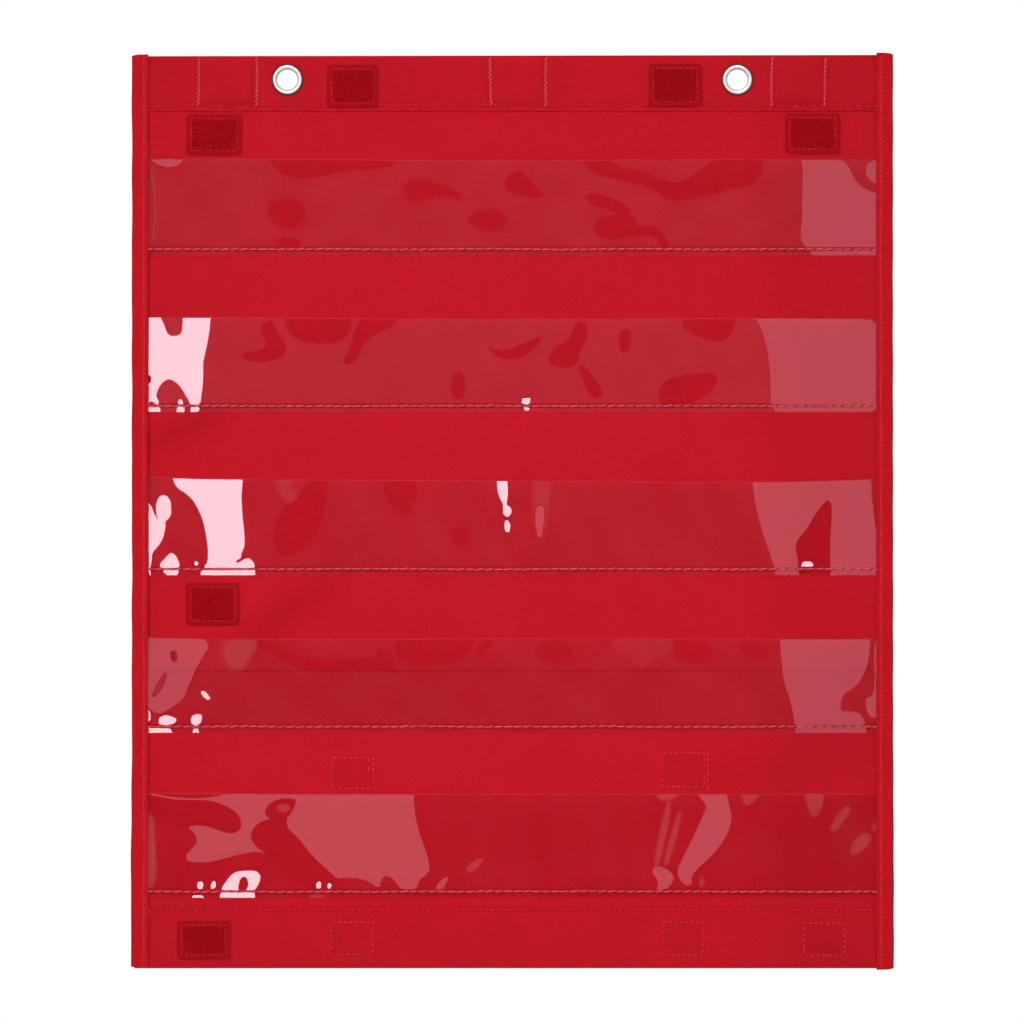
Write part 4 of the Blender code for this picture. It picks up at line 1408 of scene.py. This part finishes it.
def eyelet(side):
    """A nickel eyelet: a domed flange, a barrel through the hem, and a curl over the washer."""
    low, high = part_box(f"eyelet_{side}")
    centre = middle(f"eyelet_{side}")
    flange, bore = EYELET_FLANGE, EYELET_BORE
    wall, crown, curl, curl_depth = 0.5 * MM, 1 * MM, 6.1 * MM, 0.48 * MM
    base = low.y + crown
    back = high.y - curl_depth
    profile = half_ellipse((flange + bore) / 2, base, (flange - bore) / 2, crown)
    profile += half_ellipse((bore + curl) / 2, back, (bore - curl) / 2, -curl_depth)
    profile += [(bore + wall, back), (bore + wall, base)]
    piece = turned(f"bright_eyelet_{side}", centre, profile, METAL)
    return finish_piece(piece, "eyelet_metal", f"eyelet_{side}")


def washer(side):
    """The washer behind the cloth, with rounded edges."""
    low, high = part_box(f"eyelet_washer_{side}")
    centre = middle(f"eyelet_washer_{side}")
    outer = (high.x - low.x) / 2
    inner = HOLE_RADIUS
    edge = 0.12 * MM
    profile = [
        (inner, low.y + edge), (inner + edge, low.y), (outer - edge, low.y), (outer, low.y + edge),
        (outer, high.y - edge), (outer - edge, high.y), (inner + edge, high.y), (inner, high.y - edge),
    ]
    piece = turned(f"bright_washer_{side}", centre, profile, METAL)
    return finish_piece(piece, "eyelet_metal", f"eyelet_washer_{side}")


def magnets():
    """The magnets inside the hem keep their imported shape, with a ferrite finish."""
    for side in CELLS:
        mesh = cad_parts[f"hem_magnet_{side}"].data
        mesh.materials.clear()
        mesh.materials.append(MAGNET)


# Hook-and-loop patches

PATCH_BASE = 0.35 * MM
PILE_INSET = 0.5 * MM
SELVAGE = Vector((2.4, 0, 2.0)) * MM
CORNER_POWER = 14


def patch_base(name, node, y, outward):
    """The patch's woven ground, a selvage wider than its stitches, with its corners a little rounded."""
    low, high = patch_seam(node)
    centre, half = (low + high) / 2, (high - low) / 2 + SELVAGE
    u, v = np.meshgrid(np.linspace(-1, 1, 19), np.linspace(-1, 1, 14))
    x = centre.x + u * half.x * (1 - 0.03 * v ** CORNER_POWER)
    z = centre.z + v * half.z * (1 - 0.04 * u ** CORNER_POWER)
    surface = np.stack([x, y - hang(x, z), z], -1)
    facing = np.broadcast_to(outward, surface.shape)
    piece = shell(name, surface, facing, PATCH_BASE, [PATCH_TAPE])
    rounded(piece.data)
    return piece


def pile_ground(name, node, y, facing):
    """The open sheet, inside the stitches, that the loops or hooks stand on."""
    low, high = patch_seam(node)
    across = np.linspace(low.x + PILE_INSET, high.x - PILE_INSET, 13)
    up = np.linspace(low.z + PILE_INSET, high.z - PILE_INSET, 9)
    x, z = np.meshgrid(across, up)
    points = np.stack([x, y - hang(x, z), z], -1).reshape(-1, 3)
    cells = grid_cells(*x.shape)
    if facing > 0:
        cells = cells[:, ::-1]
    return new_piece(name, points, cells, [])


def sewn_patch(kind, number, name, way, pile):
    """A patch of one kind, with its pile. way is -1 on the front of the chart and 1 on its back."""
    node = f"{kind}_patch_{number}"
    low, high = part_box(node)
    sewn_face = low.y if way > 0 else high.y
    base = patch_base("ground", node, sewn_face + way * PATCH_BASE / 2, (0.0, way, 0.0))
    ground = pile_ground("pile", node, sewn_face + way * PATCH_BASE, way)
    piece = join(f"{name}_{number}", [base, run_geometry(ground, PILE, pile)])
    return finish_piece(piece, kind, node)


def loop_patch(number):
    """A patch on the front, with its pile of loops."""
    return sewn_patch("loop", number, "pile_patch", -1, {
        "Spacing": 0.36 * MM, "Loop": 0.45 * MM, "Thread radius": 0.12 * MM,
        "Seed": number, "Finish": LOOPS,
    })


def hook_patch(number):
    """A patch on the back, with its hooks."""
    return sewn_patch("hook", number, "hooked_patch", 1, {
        "Spacing": 0.95 * MM, "Loop": 0.8 * MM, "Thread radius": 0.13 * MM,
        "Seed": 20 + number, "Finish": HOOKS,
    })


# Stitches


def stitched(name, paths, finish, sewing, facing, slant, closed, seed):
    """Stitches along each path of points that lie on the sewn surface."""
    points, edges = [], []
    for path in paths:
        start = len(points)
        points += path
        edges += [(start + step, start + step + 1) for step in range(len(path) - 1)]
        if closed:
            edges.append((len(points) - 1, start))
    mesh = bpy.data.meshes.new(name)
    mesh.from_pydata(points, edges, [])
    return run_geometry(place_mesh(name, mesh), STITCHES, {
        "Pitch": sewing.pitch, "Stitch": sewing.stitch, "Thread radius": sewing.radius,
        "Lift": sewing.lift, "Slant": slant, "Facing": facing, "Seed": seed, "Finish": finish,
    })


def both_faces(name, paths, front, back, finish, sewing, closed=False):
    """The same stitches in front and behind. front and back give the sewn surfaces' y."""
    ahead = [[(x, front - float(hang(x, z)), z) for x, z in path] for path in paths]
    behind = [[(x, back - float(hang(x, z)), z) for x, z in path] for path in paths]
    return join(name, [
        stitched("front", ahead, finish, sewing, FORWARD, sewing.slant, closed, 1),
        stitched("back", behind, finish, sewing, REARWARD, -sewing.slant, closed, 2),
    ])


def level_path(z, seed):
    """A seam across the whole chart that wanders a little."""
    across = np.linspace(-SEAM_END, SEAM_END, int(2 * SEAM_END / (5 * MM)) + 1)
    sways = 0.12 * MM * ripple(across, z, (83 * MM, 41 * MM), seed)
    return [(float(x), z + float(off)) for x, off in zip(across, sways)]


def upright_path(x, start, end, sway=0.1 * MM, seed=1):
    """A seam up the chart that wanders a little."""
    up = np.linspace(start, end, int((end - start) / (4 * MM)) + 1)
    sways = sway * ripple(x, up, (47 * MM, 29 * MM), seed)
    return [(x + float(off), float(z)) for z, off in zip(up, sways)]


def seams():
    """Every row of stitches that stands for a packed thread."""
    for number, height in enumerate(POCKET_SEAMS, 1):
        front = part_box(f"pocket_film_{number}")[1].y - FILM_THICKNESS
        path = level_path(height - 0.2 * MM, number)
        name = f"pocket_stitches_{number}"
        piece = both_faces(name, [path], front, CLOTH_BACK, POCKET_THREAD, POCKET_SEWING)
        finish_piece(piece, "seam_thread", f"pocket_seam_thread_{number}")
    hems = (("top", TOP_HEM_SEAM, HEM_SEWING), ("bottom", BOTTOM_HEM_SEAM, LOW_HEM_SEWING))
    for end, height, sewing in hems:
        path = level_path(height, 11)
        piece = both_faces(f"{end}_hem_stitches", [path], HEM_FRONT, CLOTH_BACK, HEM_THREAD, sewing)
        finish_piece(piece, "hem_thread", f"{end}_hem_thread")
    for side in SIDES:
        node = f"tape_thread_{side}"
        low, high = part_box(node)
        path = upright_path(middle(node).x, low.z + 1.5 * MM, high.z - 1.5 * MM, seed=17)
        name = f"tape_stitches_{side}"
        piece = both_faces(name, [path], TAPE_LOW.y, TAPE_HIGH.y, TAPE_THREAD, TAPE_SEWING)
        finish_piece(piece, "hem_thread", node)


def cell_stitches():
    """The upright rows that close the hem's three cells."""
    paths = [
        upright_path(x, TOP_HEM_SEAM + MM, CLOTH_HIGH.z - 2 * MM, 0.25 * MM, 30 + row)
        for row, x in enumerate(CELL_COLUMNS)
    ]
    piece = both_faces("cell_stitches", paths, HEM_FRONT, CLOTH_BACK, CELL_THREAD, CELL_SEWING)
    finish_piece(piece, "hem_thread")


def faint_seam():
    """A seam across the cloth, behind the fourth film."""
    path = level_path(FAINT_SEAM, 51)
    piece = both_faces("faint_seam", [path], CLOTH_FRONT, CLOTH_BACK, FAINT_THREAD, HEM_SEWING)
    finish_piece(piece, "hem_thread")


def patch_outline(node):
    """The closed line that a patch is sewn down along, with rounded corners."""
    low, high = patch_seam(node)
    radius = 0.4 * MM
    corners = ((high.x, high.z, 0), (low.x, high.z, 1), (low.x, low.z, 2), (high.x, low.z, 3))
    points = []
    for x, z, quarter in corners:
        centre_x = x - math.copysign(radius, x - (low.x + high.x) / 2)
        centre_z = z - math.copysign(radius, z - (low.z + high.z) / 2)
        for step in range(4):
            turn = math.pi / 2 * (quarter + step / 3)
            points.append((centre_x + radius * math.cos(turn), centre_z + radius * math.sin(turn)))
    return points


# Where a rear patch's seam was run over twice: the column, and its ends, in the photograph's pixels
SECOND_RUNS = ((369, 759, 769), (707.5, 753, 787))


def patch_stitches():
    """The stitched outline of each patch, in front of the loops and where the rear patches show."""
    ground = PATCH_BASE + GAP
    behind = CLOTH_BACK + ground
    groups = (
        ("loop_patch", (1, 2, 6), HEM_FRONT - ground, CLOTH_BACK, LOOP_PATCH_THREAD),
        ("loop_patch", (3, 4, 5), CLOTH_FRONT - ground, CLOTH_BACK, LOOP_PATCH_THREAD),
        ("hook_patch", (1, 2), CLOTH_FRONT, behind, HOOK_PATCH_THREAD),
        ("hook_patch", (3, 4, 5), HEM_FRONT, behind, HOOK_PATCH_THREAD),
    )
    for group, numbers, front, back, thread in groups:
        paths = [patch_outline(f"{group}_{number}") for number in numbers]
        name = f"{group}_stitches_{numbers[0]}"
        piece = both_faces(name, paths, front, back, thread, PATCH_SEWING, closed=True)
        finish_piece(piece, "hem_thread")
    paths = []
    for pixel, top, bottom in SECOND_RUNS:
        x, high = photo_place(pixel, top)
        paths.append(upright_path(x, photo_place(pixel, bottom)[1], high))
    name = "second_run_stitches"
    piece = both_faces(name, paths, CLOTH_FRONT, behind, HOOK_PATCH_THREAD, PATCH_SEWING)
    finish_piece(piece, "hem_thread")


# Stage


def camera():
    """Straight on, at the photograph's distance and width."""
    data = bpy.data.cameras.new("camera")
    data.sensor_width = SENSOR_WIDTH
    data.lens = SENSOR_WIDTH * VIEW_DISTANCE / VIEW_WIDTH
    data.clip_end = CLIP_END
    eye = bpy.data.objects.new("camera", data)
    eye.location = VIEW_CENTRE - Vector((0, VIEW_DISTANCE, 0))
    eye.rotation_euler = (math.pi / 2, 0, 0)
    bpy.context.scene.collection.objects.link(eye)
    bpy.context.scene.camera = eye


def lamp(name, right, up, distance, width, height, level, spread=180):
    """A soft lamp, level bright, that lies right and up of the camera in degrees and faces the chart."""
    data = bpy.data.lights.new(name, "AREA")
    data.shape = "RECTANGLE"
    data.size = width
    data.size_y = height
    data.spread = math.radians(spread)
    brightest = max(level)
    data.color = [part / brightest for part in level]
    data.energy = brightest * math.pi * width * height
    body = bpy.data.objects.new(name, data)
    turn, rise = math.radians(right), math.radians(up)
    away = Vector((math.sin(turn) * math.cos(rise), -math.cos(turn) * math.cos(rise), math.sin(rise)))
    body.location = VIEW_CENTRE + away * distance
    body.rotation_euler = (-away).to_track_quat("-Z", "Y").to_euler()
    body.visible_camera = False
    bpy.context.scene.collection.objects.link(body)


def lamps():
    """A window lamp and a fill lamp that the films mirror, and a key lamp high above the camera."""
    lamp("window_lamp", -16, LAMPS_UP, 2.5, 0.7, 0.58, (7.8, 7.7, 8.6))
    lamp("fill_lamp", 16, LAMPS_UP, 2.5, 0.7, 0.58, (1.2, 0.72, 0.9))
    lamp("key_lamp", -8, 27, 3.2, 1.3, 1.3, (0.66, 0.66, 0.66), 28)


def surroundings():
    """The room's light by direction: dark ahead but for a faint glow, pale round it, white behind."""
    world = bpy.data.worlds.new("studio")
    world.use_nodes = True
    world.node_tree.nodes.clear()
    tree = Tree(world.node_tree)
    way = tree.result("ShaderNodeTexCoord", {}, {}, "Generated")

    def chord(degrees):
        return 2 * math.sin(math.radians(degrees) / 2)

    def off(up):
        """How far each direction is from straight ahead and this many degrees up."""
        rise = math.radians(up)
        ahead = (0.0, -math.cos(rise), math.sin(rise))
        return tree.result("ShaderNodeVectorMath", {"operation": "DISTANCE"}, {0: way, 1: ahead}, 1)

    glow = tree.spread(off(VEIL[1]), 0, chord(8.5), 1, 0)
    haze = tree.spread(off(HAZE[1]), chord(1), chord(7), 1, 0)
    walls = tree.spread(off(0), chord(25), chord(60), 0, 0.35)
    rear = tree.spread(off(0), chord(88), chord(92), 0, 0.65)
    level = tree.blend(glow, walls + rear, (0.4, 0.23, 0.29, 1.0))
    level = tree.blend(haze, level, (0.5, 0.4, 0.46, 1.0))
    around = tree.result("ShaderNodeBackground", {}, {"Color": level, "Strength": 1.0}, 0)
    white = tree.result("ShaderNodeBackground", {}, {"Color": (1, 1, 1, 1), "Strength": 1.0}, 0)
    seen = tree.result("ShaderNodeLightPath", {}, {}, "Is Camera Ray")
    mixed = tree.result("ShaderNodeMixShader", {}, {0: seen, 1: around, 2: white}, 0)
    tree.add("ShaderNodeOutputWorld", {}, {"Surface": mixed})
    bpy.context.scene.world = world


def floor():
    """A plain pale floor, below what the photograph's view takes in."""
    half, height = 4.8, -0.75
    points = [(-half, -half, height), (half, -half, height), (half, half, height), (-half, half, height)]
    material, tree, place = new_finish("pale_floor")
    seen = tree.result("ShaderNodeLightPath", {}, {}, "Is Camera Ray")
    pale = tree.blend(tree.noise(place, 0.4), (0.84, 0.84, 0.84, 1), (0.88, 0.88, 0.88, 1))
    dress(tree, {
        "Base Color": tree.blend(seen, (0.4, 0.4, 0.4, 1), pale),
        "Roughness": 0.8,
    })
    new_piece("floor", points, [(0, 1, 2, 3)], [material])


def main():
    camera()
    woven_cloth()
    for side in SIDES:
        side_tape(side)
        eyelet(side)
        washer(side)
    magnets()
    for number in range(1, POCKETS + 1):
        clear_film(number)
    for number in range(1, LOOP_PATCHES + 1):
        loop_patch(number)
    for number in range(1, HOOK_PATCHES + 1):
        hook_patch(number)
    seams()
    cell_stitches()
    faint_seam()
    patch_stitches()
    lamps()
    surroundings()
    floor()
    bpy.context.scene.view_settings.view_transform = "Standard"


main()
